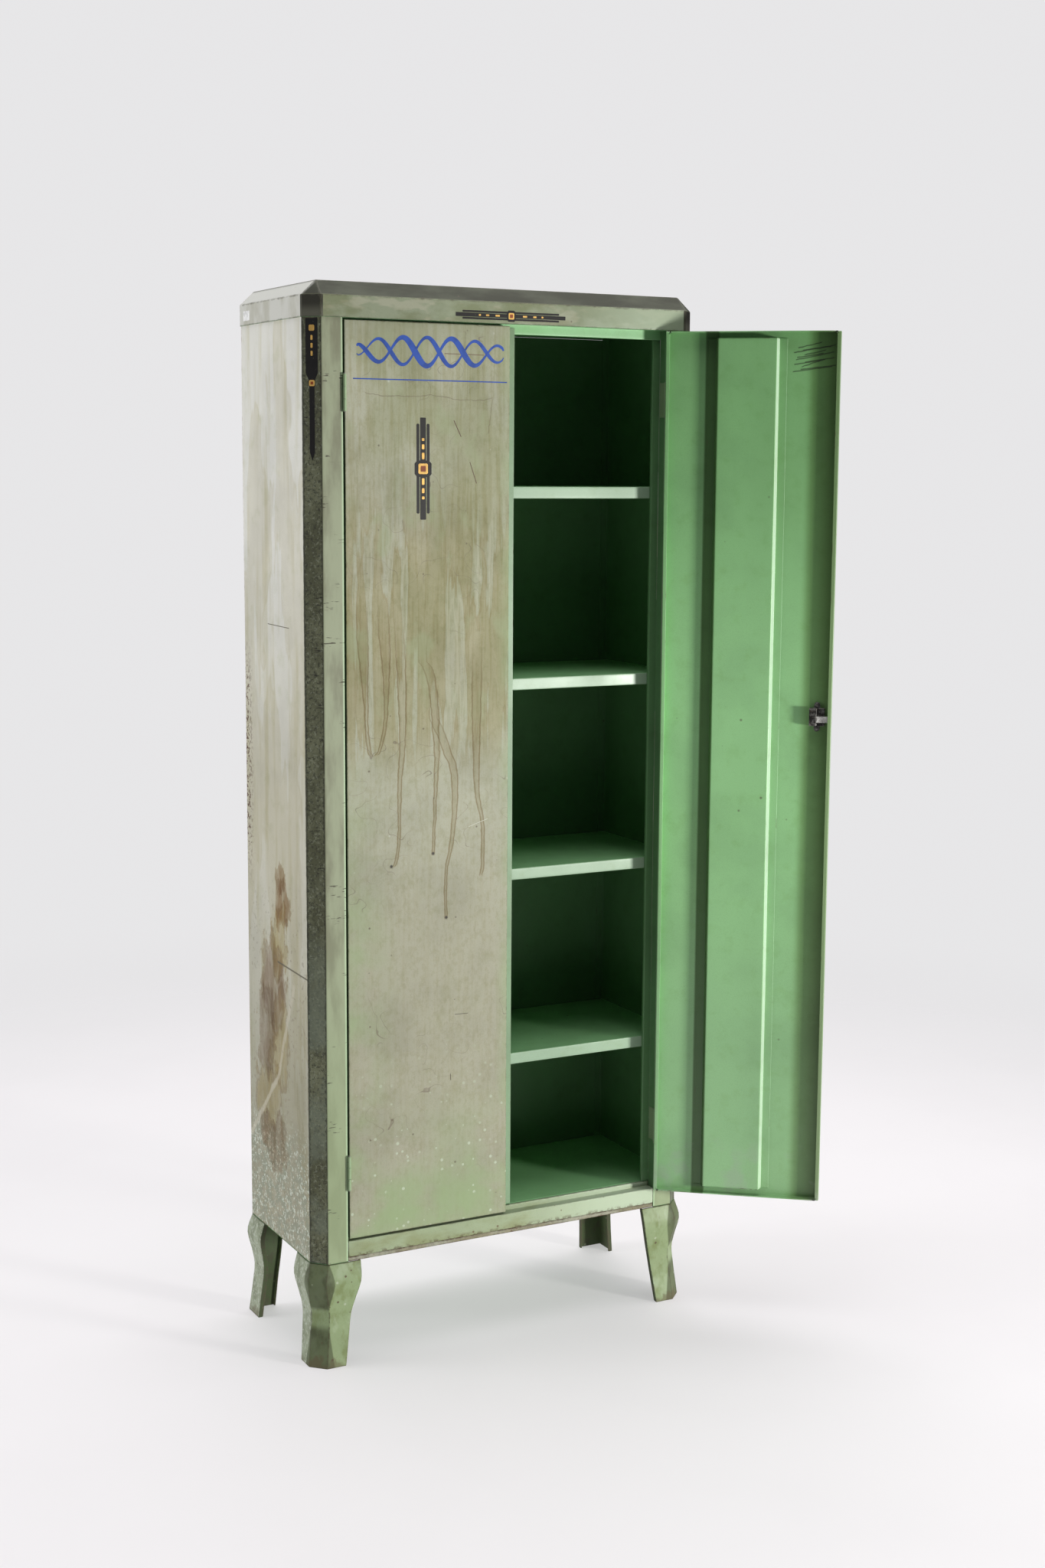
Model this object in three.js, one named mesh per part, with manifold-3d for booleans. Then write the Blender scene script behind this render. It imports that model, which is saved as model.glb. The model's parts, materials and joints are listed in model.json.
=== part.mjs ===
// A free-standing two-door steel locker cabinet on four curved sheet-metal legs.
// Millimetres, +X to the right along the front, +Y to the back, +Z up.
// The left door is shut and the right door stands open on its hinges.
// The origin is on the floor, under the middle of the whole object, open door included.

import * as THREE from 'three';
import { mergeVertices } from 'three/addons/utils/BufferGeometryUtils.js';
import { ConvexGeometry } from 'three/addons/geometries/ConvexGeometry.js';
import Module from 'manifold-3d';

const wasm = await Module();
wasm.setup();

// ---------------------------------------------------------------- driving dimensions

const WIDTH = 762;
const DEPTH = 315;
const HEIGHT = 1906;
const SHEET = 1.2;
const GAP = 0.3;

const LEG_HEIGHT = 191.2;
const LEG_SHEET = 2;
const BODY_BOTTOM = 192;
const BODY_TOP = 1876;
const CHAMFER = 25;

const CAP_SKIRT_BOTTOM = 1844;
const CAP_SHOULDER = 1881;
const CAP_OVERHANG = 1.5;
const CAP_BEVEL = 27;

const REAR_FLANGE = 15;

const OPENING_HALF = 317.5;
const OPENING_BOTTOM = 229;
const JAMB_DEPTH = 20;
const STOP_WIDTH = 15;
const STOP_HEM = 6;
const STOP_LIP = 9;
const RAIL_HEM = 5;
const RAIL_FOOT = 8;
const RAIL_FACE_BOTTOM = 199.5;
const TOP_STOP_BOTTOM = 1828;

const DOOR_BOTTOM = 233;
const DOOR_TOP = 1841;
const DOOR_DEPTH = 16;
const DOOR_LIP = 7;
const DOOR_SIDE_GAP = 3;
const DOOR_MEETING_GAP = 2.5;
const DOOR_TO_TOP_RAIL = 3.5;
const RIGHT_DOOR_OPEN = THREE.MathUtils.degToRad(142);

const HINGE_HEIGHTS = { upper: 1720, lower: 356 };
const HINGE_LENGTH = 62;
const HINGE_RADIUS = 3;
const PIN_RADIUS = 1.4;
const PIVOT_CLEARANCE = 0.5;

const SHELF_TOPS = [526, 872.5, 1220.5, 1563.5];
const SHELF_LIP = 21;
const SHELF_HEM = 7;
const SHELF_FRONT_SETBACK = 26.5;
const FLOOR_LIP = 18;
const STRETCHER_LIP = 7.7;
const STRETCHER_LEDGE = 28.5;
const STRETCHER_SETBACK = 1.5;

const LATCH_HEIGHT = 1144.5;

// ---------------------------------------------------------------- derived places

const halfWidth = WIDTH / 2;
const front = -DEPTH / 2;
const back = DEPTH / 2;
const insideHalf = halfWidth - SHEET;
const stopFace = front + JAMB_DEPTH;
const railStopFace = stopFace - 1;
const backPanelFront = back + GAP;
const backPanelRear = backPanelFront + SHEET;
const shelfFront = front + SHELF_FRONT_SETBACK;
const shelfRear = back - SHEET - GAP;
const shelfHalf = insideHalf - GAP;
const floorTop = OPENING_BOTTOM + STOP_LIP;
const pivotX = OPENING_HALF - DOOR_SIDE_GAP / 2;
const pivotY = front - HINGE_RADIUS - PIVOT_CLEARANCE;
const doorHingeEdge = OPENING_HALF - DOOR_SIDE_GAP;
const doorFreeEdge = DOOR_MEETING_GAP / 2;
const doorInside = front + SHEET;
const doorRear = front + DOOR_DEPTH;

// ---------------------------------------------------------------- materials

const paint = (color, roughness = 0.55) =>
  new THREE.MeshStandardMaterial({ color, roughness, metalness: 0.15 });
const metal = (color, roughness) =>
  new THREE.MeshStandardMaterial({ color, roughness, metalness: 0.9 });

const shellPaint = paint(0x9aa68c);
const sidePaint = paint(0xaab0a2);
const doorPaint = paint(0x98a587);
const insidePaint = paint(0x86b888, 0.5);
const legPaint = paint(0x8f9c80, 0.6);
const barePrimer = paint(0xa79f86, 0.7);
const hingeSteel = metal(0x6d7566, 0.5);
const pinSteel = metal(0x8a8a84, 0.4);
const blackSteel = metal(0x2a2826, 0.5);
const chrome = metal(0xd8d8d4, 0.18);

// ---------------------------------------------------------------- solids

function toSolid(geometry) {
  const bare = geometry.clone();
  bare.deleteAttribute('normal');
  bare.deleteAttribute('uv');
  const merged = mergeVertices(bare, 1e-4);
  return new wasm.Manifold(new wasm.Mesh({
    numProp: 3,
    vertProperties: new Float32Array(merged.attributes.position.array),
    triVerts: new Uint32Array(merged.index.array),
  }));
}

function toGeometry(solid) {
  const mesh = solid.getMesh();
  const geometry = new THREE.BufferGeometry();
  geometry.setAttribute('position', new THREE.BufferAttribute(mesh.vertProperties, 3));
  geometry.setIndex(new THREE.BufferAttribute(mesh.triVerts, 1));
  geometry.computeVertexNormals();
  return geometry;
}

function cut(geometry, ...tools) {
  return toGeometry(tools.reduce((solid, tool) => solid.subtract(toSolid(tool)), toSolid(geometry)));
}

function join(geometry, ...others) {
  return toGeometry(others.reduce((solid, other) => solid.add(toSolid(other)), toSolid(geometry)));
}

// A block between two opposite corners.
function block([x0, x1], [y0, y1], [z0, z1]) {
  const geometry = new THREE.BoxGeometry(Math.abs(x1 - x0), Math.abs(y1 - y0), Math.abs(z1 - z0));
  return geometry.translate((x0 + x1) / 2, (y0 + y1) / 2, (z0 + z1) / 2);
}

// A round rod standing on z0, its axis parallel to Z through (x, y).
function post(radius, x, y, z0, z1, sides = 20) {
  const geometry = new THREE.CylinderGeometry(radius, radius, z1 - z0, sides);
  return geometry.rotateX(Math.PI / 2).translate(x, y, (z0 + z1) / 2);
}

// A round rod with its axis parallel to Y through (x, z), from y0 back to y1.
function crossPost(radius, x, z, y0, y1, sides = 24) {
  const geometry = new THREE.CylinderGeometry(radius, radius, y1 - y0, sides);
  return geometry.translate(x, (y0 + y1) / 2, z);
}

// Moves an open path sideways by a distance, with mitred corners.
// A positive distance is to the left of the direction of travel.
function offsetPath(path, distance) {
  const normals = path.slice(1).map((point, i) => {
    const run = point.clone().sub(path[i]).normalize();
    return new THREE.Vector2(-run.y, run.x);
  });
  return path.map((point, i) => {
    const before = normals[Math.max(i - 1, 0)];
    const after = normals[Math.min(i, normals.length - 1)];
    const mitre = before.clone().add(after).normalize();
    return point.clone().addScaledVector(mitre, distance / mitre.dot(after));
  });
}

// The closed outline of a bent sheet whose visible face follows the path.
function sheetOutline(points, thickness, side) {
  const path = points.map(([a, b]) => new THREE.Vector2(a, b));
  return [...path, ...offsetPath(path, thickness * side).reverse()];
}

// A bent sheet: the outline in plan, standing from z0 to z1.
function uprightSheet(points, side, z0, z1, thickness = SHEET) {
  const shape = new THREE.Shape(sheetOutline(points, thickness, side));
  const geometry = new THREE.ExtrudeGeometry(shape, { depth: z1 - z0, bevelEnabled: false });
  return geometry.translate(0, 0, z0);
}

// A bent sheet: the outline in the (Y, Z) plane, running along X between -half and +half.
function lyingSheet(points, side, half, thickness = SHEET) {
  const shape = new THREE.Shape(sheetOutline(points, thickness, side));
  const geometry = new THREE.ExtrudeGeometry(shape, { depth: 2 * half, bevelEnabled: false });
  const turn = new THREE.Matrix4().makeBasis(
    new THREE.Vector3(0, 1, 0), new THREE.Vector3(0, 0, 1), new THREE.Vector3(1, 0, 0));
  return geometry.applyMatrix4(turn).translate(-half, 0, 0);
}

// A closed skin through rings of equal length, one ring for each height, capped at both ends.
function loft(rings, heights) {
  const count = rings[0].length;
  const last = (rings.length - 1) * count;
  const positions = rings.flatMap((ring, i) => ring.flatMap((point) => [point.x, point.y, heights[i]]));
  const rightWay = THREE.ShapeUtils.isClockWise(rings[0]) ? -1 : 1;
  const triangles = [];
  const addTriangle = (a, b, c) => triangles.push(...(rightWay > 0 ? [a, b, c] : [a, c, b]));
  for (let level = 0; level < rings.length - 1; level += 1) {
    for (let i = 0; i < count; i += 1) {
      const low = level * count;
      const next = (i + 1) % count;
      addTriangle(low + i, low + next, low + count + next);
      addTriangle(low + i, low + count + next, low + count + i);
    }
  }
  for (const [a, b, c] of THREE.ShapeUtils.triangulateShape(rings[0], [])) {
    triangles.push(a, c, b);
  }
  for (const [a, b, c] of THREE.ShapeUtils.triangulateShape(rings.at(-1), [])) {
    triangles.push(last + a, last + b, last + c);
  }
  const geometry = new THREE.BufferGeometry();
  geometry.setAttribute('position', new THREE.Float32BufferAttribute(positions, 3));
  geometry.setIndex(triangles);
  geometry.computeVertexNormals();
  return geometry;
}

function part(name, geometry, material) {
  const mesh = new THREE.Mesh(geometry, material);
  mesh.name = name;
  return mesh;
}

// ---------------------------------------------------------------- body

// One side of the cabinet is a single folded sheet: rear flange, side, chamfered front corner,
// front stile, jamb and door stop. hand is +1 on the right and -1 on the left.
function sidePanel(name, hand) {
  const path = [
    [halfWidth - REAR_FLANGE, back],
    [halfWidth, back],
    [halfWidth, front + CHAMFER],
    [halfWidth - CHAMFER, front],
    [OPENING_HALF, front],
    [OPENING_HALF, stopFace],
    [OPENING_HALF - STOP_WIDTH, stopFace],
    [OPENING_HALF - STOP_WIDTH, stopFace + STOP_HEM],
  ].map(([x, y]) => [x * hand, y]);
  const sheet = uprightSheet(path, -hand, BODY_BOTTOM, BODY_TOP);
  const jambSkin = 0.05;
  const stopZoneX = [hand * (OPENING_HALF - STOP_WIDTH - 1), hand * (OPENING_HALF - jambSkin)];
  const stopZoneY = [railStopFace - 1, stopFace + STOP_HEM + 1];
  const belowStop = block(stopZoneX, stopZoneY, [BODY_BOTTOM - 1, floorTop + GAP]);
  const aboveStop = block(stopZoneX, stopZoneY, [TOP_STOP_BOTTOM - GAP, BODY_TOP + 1]);
  return part(name, cut(sheet, belowStop, aboveStop), sidePaint);
}

// The back sheet lies over the side panels' rear flanges and ends just under the cap's skirt.
function backPanel() {
  const half = halfWidth - 1;
  const tall = [BODY_BOTTOM + 1, CAP_SKIRT_BOTTOM - GAP];
  const sheet = block([-half, half], [backPanelFront, backPanelRear], tall);
  return part('back_panel', sheet, insidePaint);
}

// The solid under the cap's skin: an upright skirt, bevels on the front and the two ends,
// and a small triangle over each chamfered front corner. inset shrinks it by a sheet's thickness.
function capSolid(inset, skirtBottom) {
  const x = halfWidth + CAP_OVERHANG - inset;
  const frontY = front - CAP_OVERHANG + inset;
  const backY = back + CAP_OVERHANG - inset;
  const cornerCut = CHAMFER - inset * (2 - Math.SQRT2);
  const shoulder = CAP_SHOULDER - inset * (Math.SQRT2 - 1);
  const top = HEIGHT - inset;
  const run = CAP_BEVEL - inset * (Math.SQRT2 - 1);
  const points = [];
  for (const side of [-1, 1]) {
    for (const z of [skirtBottom, shoulder]) {
      points.push(new THREE.Vector3(side * x, backY, z));
      points.push(new THREE.Vector3(side * x, frontY + cornerCut, z));
      points.push(new THREE.Vector3(side * (x - cornerCut), frontY, z));
    }
    points.push(new THREE.Vector3(side * (x - run), backY, top));
    points.push(new THREE.Vector3(side * (x - run), frontY + run, top));
  }
  return new ConvexGeometry(points);
}

function topCap() {
  const skin = cut(capSolid(0, CAP_SKIRT_BOTTOM), capSolid(SHEET, CAP_SKIRT_BOTTOM - 5));
  return part('top_cap', skin, shellPaint);
}

// Both rails are one folded sheet: front face, ledge under or over the doors, stop lip and hem.
function bottomRail() {
  const section = [
    [front + RAIL_FOOT, RAIL_FACE_BOTTOM],
    [front, RAIL_FACE_BOTTOM],
    [front, OPENING_BOTTOM],
    [railStopFace, OPENING_BOTTOM],
    [railStopFace, floorTop],
    [railStopFace + RAIL_HEM, floorTop],
  ];
  return part('bottom_rail', lyingSheet(section, -1, OPENING_HALF - GAP), shellPaint);
}

function topRail() {
  const ledge = DOOR_TOP + DOOR_TO_TOP_RAIL;
  const section = [
    [front, BODY_TOP],
    [front, ledge],
    [railStopFace, ledge],
    [railStopFace, TOP_STOP_BOTTOM],
    [railStopFace + RAIL_HEM, TOP_STOP_BOTTOM],
  ];
  return part('top_rail', lyingSheet(section, 1, OPENING_HALF - GAP), insidePaint);
}

// The angle that ties the two sides together under the bottom rail and rests on the front legs.
function frontStretcher() {
  const top = RAIL_FACE_BOTTOM - GAP;
  const face = front + STRETCHER_SETBACK;
  const section = [
    [face, top - STRETCHER_LIP],
    [face, top],
    [face + STRETCHER_LEDGE, top],
  ];
  return part('front_stretcher', lyingSheet(section, -1, OPENING_HALF - GAP), barePrimer);
}

function floorPanel() {
  const section = [
    [shelfRear, floorTop - FLOOR_LIP],
    [shelfRear, floorTop],
    [shelfFront, floorTop],
    [shelfFront, floorTop - FLOOR_LIP],
  ];
  return part('floor_panel', lyingSheet(section, 1, shelfHalf), insidePaint);
}

// A shelf is a sheet with a lip turned down along its front and its rear edge.
function shelf(name, top) {
  const section = [
    [shelfRear, top - SHELF_LIP],
    [shelfRear, top],
    [shelfFront, top],
    [shelfFront, top - SHELF_LIP],
    [shelfFront + SHELF_HEM, top - SHELF_LIP],
  ];
  return part(name, lyingSheet(section, 1, shelfHalf), insidePaint);
}

// ---------------------------------------------------------------- legs

// How a leg changes with height: x is how far its plates bulge out past the body,
// y is how wide the leg is measured from the body's corner, z is the height.
const frontLegCurve = new THREE.CatmullRomCurve3([
  new THREE.Vector3(0, 88, LEG_HEIGHT),
  new THREE.Vector3(7.6, 86, 158),
  new THREE.Vector3(1.6, 77, 122),
  new THREE.Vector3(-2.2, 70, 95),
  new THREE.Vector3(0.4, 64.5, 58),
  new THREE.Vector3(6.5, 56, 0),
]);
const rearLegCurve = new THREE.CatmullRomCurve3([
  new THREE.Vector3(0, 63, LEG_HEIGHT),
  new THREE.Vector3(7.6, 62, 158),
  new THREE.Vector3(1.6, 57, 122),
  new THREE.Vector3(-2.2, 52, 95),
  new THREE.Vector3(0.4, 48, 58),
  new THREE.Vector3(6.5, 44, 0),
]);
const LEG_RETURN = 9;
const LEG_LEVELS = 18;
const TONGUE_TOP = 214;
const TONGUE_ROOT = 6;
const TONGUE_DEPTH = 62;

// A leg is one pressed sheet around a corner of the body, with a return along both free edges
// and a tongue that reaches up inside the body. handX and handY point out from the body.
function leg(name, curve, chamfer, handX, handY) {
  const rings = [];
  const heights = [];
  for (const sample of curve.getPoints(LEG_LEVELS)) {
    const outX = halfWidth + sample.x;
    const outY = back + sample.x;
    const endX = halfWidth - sample.y;
    const endY = back - sample.y;
    const corner = chamfer > 0 ? [[outX, outY - chamfer], [outX - chamfer, outY]] : [[outX, outY]];
    const path = [
      [outX - LEG_RETURN, endY],
      [outX, endY],
      ...corner,
      [endX, outY],
      [endX, outY - LEG_RETURN],
    ].map(([x, y]) => [x * handX, y * handY]);
    rings.push(sheetOutline(path, LEG_SHEET, handX * handY));
    heights.push(sample.z);
  }
  const plates = loft(rings.reverse(), heights.reverse());
  const inX = insideHalf - GAP;
  const inY = back - SHEET - GAP;
  const corner = chamfer > 0 ? [[inX, inY - chamfer], [inX - chamfer, inY]] : [[inX, inY]];
  const tonguePath = [
    [inX, back - TONGUE_DEPTH],
    ...corner,
    [halfWidth - TONGUE_DEPTH, inY],
  ].map(([x, y]) => [x * handX, y * handY]);
  const root = LEG_HEIGHT - TONGUE_ROOT;
  const tongue = uprightSheet(tonguePath, handX * handY, root, TONGUE_TOP, LEG_SHEET);
  return part(name, join(plates, tongue), legPaint);
}

// ---------------------------------------------------------------- hinges

const KNUCKLE_GAP = 0.6;
const KNUCKLE_HALF = 10;
const LEAF_CLEARANCE = 0.2;
const LEAF_THICKNESS = 1;
const FRAME_LEAF_DEPTH = 17;
const DOOR_LEAF_DEPTH = 14;
const BORE_CLEARANCE = 0.15;
const RIVET_LIP = 1.1;
const RIVET_HEIGHT = 1.2;

// A hinge leaf and its knuckles, built at the right-hand hinge with its middle at z = 0.
// The frame's leaf has the two end knuckles and the door's leaf has the middle one.
function hingeLeaf(name, onFrame, hand, height) {
  const half = HINGE_LENGTH / 2;
  const ends = [[-half, -KNUCKLE_HALF - KNUCKLE_GAP], [KNUCKLE_HALF + KNUCKLE_GAP, half]];
  const middle = [[-KNUCKLE_HALF, KNUCKLE_HALF]];
  const own = onFrame ? ends : middle;
  const others = onFrame ? middle : ends;
  const away = onFrame ? 1 : -1;
  const leafX = [pivotX + away * LEAF_CLEARANCE, pivotX + away * (LEAF_CLEARANCE + LEAF_THICKNESS)];
  const leafRear = front + (onFrame ? FRAME_LEAF_DEPTH : DOOR_LEAF_DEPTH);
  const plate = block(leafX, [pivotY + PIVOT_CLEARANCE, leafRear], [-half, half]);
  const room = others.map(([z0, z1]) =>
    post(HINGE_RADIUS + GAP, pivotX, pivotY, z0 - KNUCKLE_GAP, z1 + KNUCKLE_GAP));
  const knuckles = own.map(([z0, z1]) => post(HINGE_RADIUS, pivotX, pivotY, z0, z1));
  const bore = post(PIN_RADIUS + BORE_CLEARANCE, pivotX, pivotY, -half - 1, half + 1);
  const geometry = cut(join(cut(plate, ...room), ...knuckles), bore);
  return part(name, mirrorTo(geometry, hand).translate(0, 0, height), hingeSteel);
}

// The pin is a rod with a flat rivet head at each end, clear of the knuckles.
function hingePin(name, hand, height) {
  const half = HINGE_LENGTH / 2 + GAP;
  const headRadius = PIN_RADIUS + RIVET_LIP;
  const crownRadius = headRadius - RIVET_HEIGHT / 2;
  const profile = [
    [0, -half - RIVET_HEIGHT],
    [crownRadius, -half - RIVET_HEIGHT],
    [headRadius, -half],
    [PIN_RADIUS, -half],
    [PIN_RADIUS, half],
    [headRadius, half],
    [crownRadius, half + RIVET_HEIGHT],
    [0, half + RIVET_HEIGHT],
  ].map(([r, z]) => new THREE.Vector2(r, z));
  const pin = new THREE.LatheGeometry(profile, 20).rotateX(Math.PI / 2);
  return part(name, pin.translate(hand * pivotX, pivotY, height), pinSteel);
}

// Reflects a right-hand geometry to the left when hand is -1, and keeps its faces pointing out.
function mirrorTo(geometry, hand) {
  if (hand > 0) {
    return geometry;
  }
  return toGeometry(toSolid(geometry).mirror([1, 0, 0]));
}

// ---------------------------------------------------------------- doors

const STRIKE_HEIGHT = 12.4;
const STRIKE_Y = [front + 6.3, front + 11.6];
const LAP_STRIP_X = [-20, 16];
const LAP_STRIP_Z = [DOOR_BOTTOM + 9.5, DOOR_TOP - 2];
const STIFFENER_MIDDLE = 168;
const STIFFENER_FACE_HALF = 53;
const STIFFENER_SLOPE = 4;
const STIFFENER_FLANGE = 14;
const STIFFENER_SHEET = 1;
const STIFFENER_Z = [DOOR_BOTTOM + 14, DOOR_TOP - 12];

// A door is a shallow pan: a skin with its four edges turned in, and a lip on the two long edges.
// Both doors have a slot in the free edge for the latch bolt.
function doorPanel(name, hand) {
  const slab = block([doorFreeEdge, doorHingeEdge], [front, doorRear], [DOOR_BOTTOM, DOOR_TOP]);
  const inside = [doorFreeEdge + SHEET, doorHingeEdge - SHEET];
  const mouth = [doorFreeEdge + DOOR_LIP, doorHingeEdge - DOOR_LIP];
  const tall = [DOOR_BOTTOM + SHEET, DOOR_TOP - SHEET];
  const pocket = block(inside, [doorInside, doorRear - SHEET], tall);
  const opening = block(mouth, [doorRear - SHEET - 1, doorRear + 1], tall);
  const slotZ = [LATCH_HEIGHT - STRIKE_HEIGHT / 2, LATCH_HEIGHT + STRIKE_HEIGHT / 2];
  const slot = block([doorFreeEdge - 1, doorFreeEdge + SHEET + 1], STRIKE_Y, slotZ);
  const tools = [pocket, opening, slot];
  if (hand > 0) {
    tools.push(crossPost(SPINDLE_RADIUS + 0.8, SPINDLE_X, SPINDLE_Z, front - 1, doorInside + 1));
  }
  return part(name, mirrorTo(cut(slab, ...tools), hand), doorPaint);
}

// The stiffener is a hat section on the inside of the door, nearly as tall as the door.
function doorStiffener(name, hand) {
  const footHalf = STIFFENER_FACE_HALF + STIFFENER_SLOPE;
  const flangeY = doorInside + GAP + STIFFENER_SHEET;
  const faceY = doorRear - SHEET + STIFFENER_SHEET - GAP;
  const path = [
    [STIFFENER_MIDDLE - footHalf - STIFFENER_FLANGE, flangeY],
    [STIFFENER_MIDDLE - footHalf, flangeY],
    [STIFFENER_MIDDLE - STIFFENER_FACE_HALF, faceY],
    [STIFFENER_MIDDLE + STIFFENER_FACE_HALF, faceY],
    [STIFFENER_MIDDLE + footHalf, flangeY],
    [STIFFENER_MIDDLE + footHalf + STIFFENER_FLANGE, flangeY],
  ].map(([x, y]) => [x * hand, y]);
  const sheet = uprightSheet(path, -hand, ...STIFFENER_Z, STIFFENER_SHEET);
  return part(name, sheet, insidePaint);
}

// The lap strip is fixed behind the left door's free edge and covers the gap between the doors.
function lapStrip() {
  const y0 = doorRear + GAP;
  const strip = block(LAP_STRIP_X, [y0, y0 + SHEET], LAP_STRIP_Z);
  return part('left_door_lap_strip', strip, insidePaint);
}

// ---------------------------------------------------------------- latch

const SPINDLE_RADIUS = 4;
const SPINDLE_X = 26;
const CRANK = 6;
const SPINDLE_Z = LATCH_HEIGHT + CRANK * (1 + Math.SQRT1_2) / 2;
const CRANK_PIN_RADIUS = 1.5;
const CRANK_DISC_RADIUS = CRANK + CRANK_PIN_RADIUS + 0.5;
const CRANK_DISC_THICKNESS = 1.4;
const CASE_X = [14, 42];
const CASE_FLOOR = doorInside + GAP;
const GROOVE_FLOOR = CASE_FLOOR + 5;
const CASE_RIM = CASE_FLOOR + 8;
const EAR_THICKNESS = 3;
const BRIDGE_TOP = CASE_FLOOR + 12;
const BRIDGE_START = 29;
const BOLT_Y = [GROOVE_FLOOR + GAP, GROOVE_FLOOR + GAP + 4.2];
const BOLT_HALF = 5.5;
const BOLT_X = [2, 39];
const EAR_X = 28;
const EAR_OFFSET = 21.5;
const EAR_RADIUS = 5.5;
const EAR_CENTRE = LATCH_HEIGHT + 4.5;
const CASE_HALF_HEIGHT = 16.5;
const SCREW_RADIUS = 2;
const SCREW_HEAD_RADIUS = 3.8;
const ROSETTE_RADIUS = 15;
const ROSETTE_THICKNESS = 2;
const COLLAR_RADIUS = 9;
const COLLAR_LENGTH = 6;
const GRIP_REACH = 15;
const GRIP_RADIUS = 4.5;
const GRIP_DEPTH = 11;
const GRIP_OVERLAP = 4;
const HANDLE_REAR = front - GAP - ROSETTE_THICKNESS - 1;

// The case is a base with a groove for the bolt, a bridge over its rear half and two screw ears.
function latchCase() {
  const bodyZ = [EAR_CENTRE - CASE_HALF_HEIGHT, EAR_CENTRE + CASE_HALF_HEIGHT];
  const bridgeZ = [EAR_CENTRE - CASE_HALF_HEIGHT + 1, EAR_CENTRE + CASE_HALF_HEIGHT - 1];
  const earY = [CASE_FLOOR, CASE_FLOOR + EAR_THICKNESS];
  const body = block(CASE_X, [CASE_FLOOR, CASE_RIM], bodyZ);
  const bridge = block([BRIDGE_START, CASE_X[1]], [CASE_FLOOR, BRIDGE_TOP], bridgeZ);
  const ears = [-1, 1].map((side) =>
    crossPost(EAR_RADIUS, EAR_X, EAR_CENTRE + side * EAR_OFFSET, ...earY));
  const necks = [-1, 1].map((side) => block(
    [EAR_X - EAR_RADIUS, EAR_X + EAR_RADIUS], earY,
    [EAR_CENTRE + side * (CASE_HALF_HEIGHT - 1), EAR_CENTRE + side * EAR_OFFSET]));
  const groove = block(
    [CASE_X[0] - 1, CASE_X[1] + 1], [GROOVE_FLOOR, BOLT_Y[1] + GAP],
    [LATCH_HEIGHT - BOLT_HALF - GAP, LATCH_HEIGHT + BOLT_HALF + GAP]);
  const spindleBore = crossPost(
    SPINDLE_RADIUS + GAP, SPINDLE_X, SPINDLE_Z, CASE_FLOOR - 1, GROOVE_FLOOR + 1);
  const screwBores = [-1, 1].map((side) => crossPost(
    SCREW_RADIUS + GAP, EAR_X, EAR_CENTRE + side * EAR_OFFSET, earY[0] - 1, earY[1] + 1, 16));
  const discRecess = crossPost(CRANK_DISC_RADIUS + 0.5, SPINDLE_X, SPINDLE_Z,
    GROOVE_FLOOR - CRANK_DISC_THICKNESS - 2 * GAP, GROOVE_FLOOR + 1, 32);
  const whole = join(body, bridge, ...ears, ...necks);
  return part('latch_case', cut(whole, groove, discRecess, spindleBore, ...screwBores), blackSteel);
}

// A pan-head screw in each ear of the case, with a slot across its head.
function latchScrew(name, side) {
  const headY = CASE_FLOOR + EAR_THICKNESS + GAP;
  const profile = [
    [0, CASE_FLOOR + GAP],
    [SCREW_RADIUS, CASE_FLOOR + GAP],
    [SCREW_RADIUS, headY],
    [SCREW_HEAD_RADIUS, headY],
    [SCREW_HEAD_RADIUS - 0.5, headY + 1.6],
    [0, headY + 2.4],
  ].map(([r, y]) => new THREE.Vector2(r, y));
  const z = EAR_CENTRE + side * EAR_OFFSET;
  const screw = new THREE.LatheGeometry(profile, 20).translate(EAR_X, 0, z);
  const slot = block([EAR_X - 5, EAR_X + 5], [headY + 1.4, headY + 3], [z - 0.5, z + 0.5]);
  return part(name, cut(screw, slot), blackSteel);
}

// The bolt slides out of the free edge of the door. A slot in it takes the spindle's crank pin.
function latchBolt() {
  const nose = 2;
  const outline = new THREE.Shape([
    [BOLT_X[0] + nose, -BOLT_HALF],
    [BOLT_X[1], -BOLT_HALF],
    [BOLT_X[1], BOLT_HALF],
    [BOLT_X[0] + nose, BOLT_HALF],
    [BOLT_X[0], BOLT_HALF - nose],
    [BOLT_X[0], -BOLT_HALF + nose],
  ].map(([x, z]) => new THREE.Vector2(x, z)));
  const bar = new THREE.ExtrudeGeometry(outline, { depth: BOLT_Y[1] - BOLT_Y[0], bevelEnabled: false });
  bar.rotateX(Math.PI / 2).translate(0, BOLT_Y[1], LATCH_HEIGHT);
  const slotX = SPINDLE_X + CRANK * Math.SQRT1_2;
  const slotHalf = CRANK_PIN_RADIUS + 0.4;
  const pinSlot = block([slotX - slotHalf, slotX + slotHalf], [BOLT_Y[0] - 1, BOLT_Y[1] + 1],
    [LATCH_HEIGHT - slotHalf - 1, LATCH_HEIGHT + slotHalf + 1]);
  return part('latch_bolt', cut(bar, pinSlot), chrome);
}

// The spindle runs from the handle through the door skin and carries a crank pin for the bolt.
// At rest the pin is 45 degrees to the hinge side of straight down, and the bolt is drawn in.
function handleSpindle() {
  const reach = CRANK * Math.SQRT1_2;
  const discFace = GROOVE_FLOOR - GAP;
  const discBack = discFace - CRANK_DISC_THICKNESS;
  const rod = crossPost(
    SPINDLE_RADIUS, SPINDLE_X, SPINDLE_Z, HANDLE_REAR - COLLAR_LENGTH + GAP, discBack + 0.5);
  const disc = crossPost(CRANK_DISC_RADIUS, SPINDLE_X, SPINDLE_Z, discBack, discFace, 32);
  const pin = crossPost(CRANK_PIN_RADIUS, SPINDLE_X + reach, SPINDLE_Z - reach,
    discFace - 0.5, BOLT_Y[1] - 0.6, 16);
  return part('handle_spindle', join(rod, disc, pin), pinSteel);
}

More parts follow.
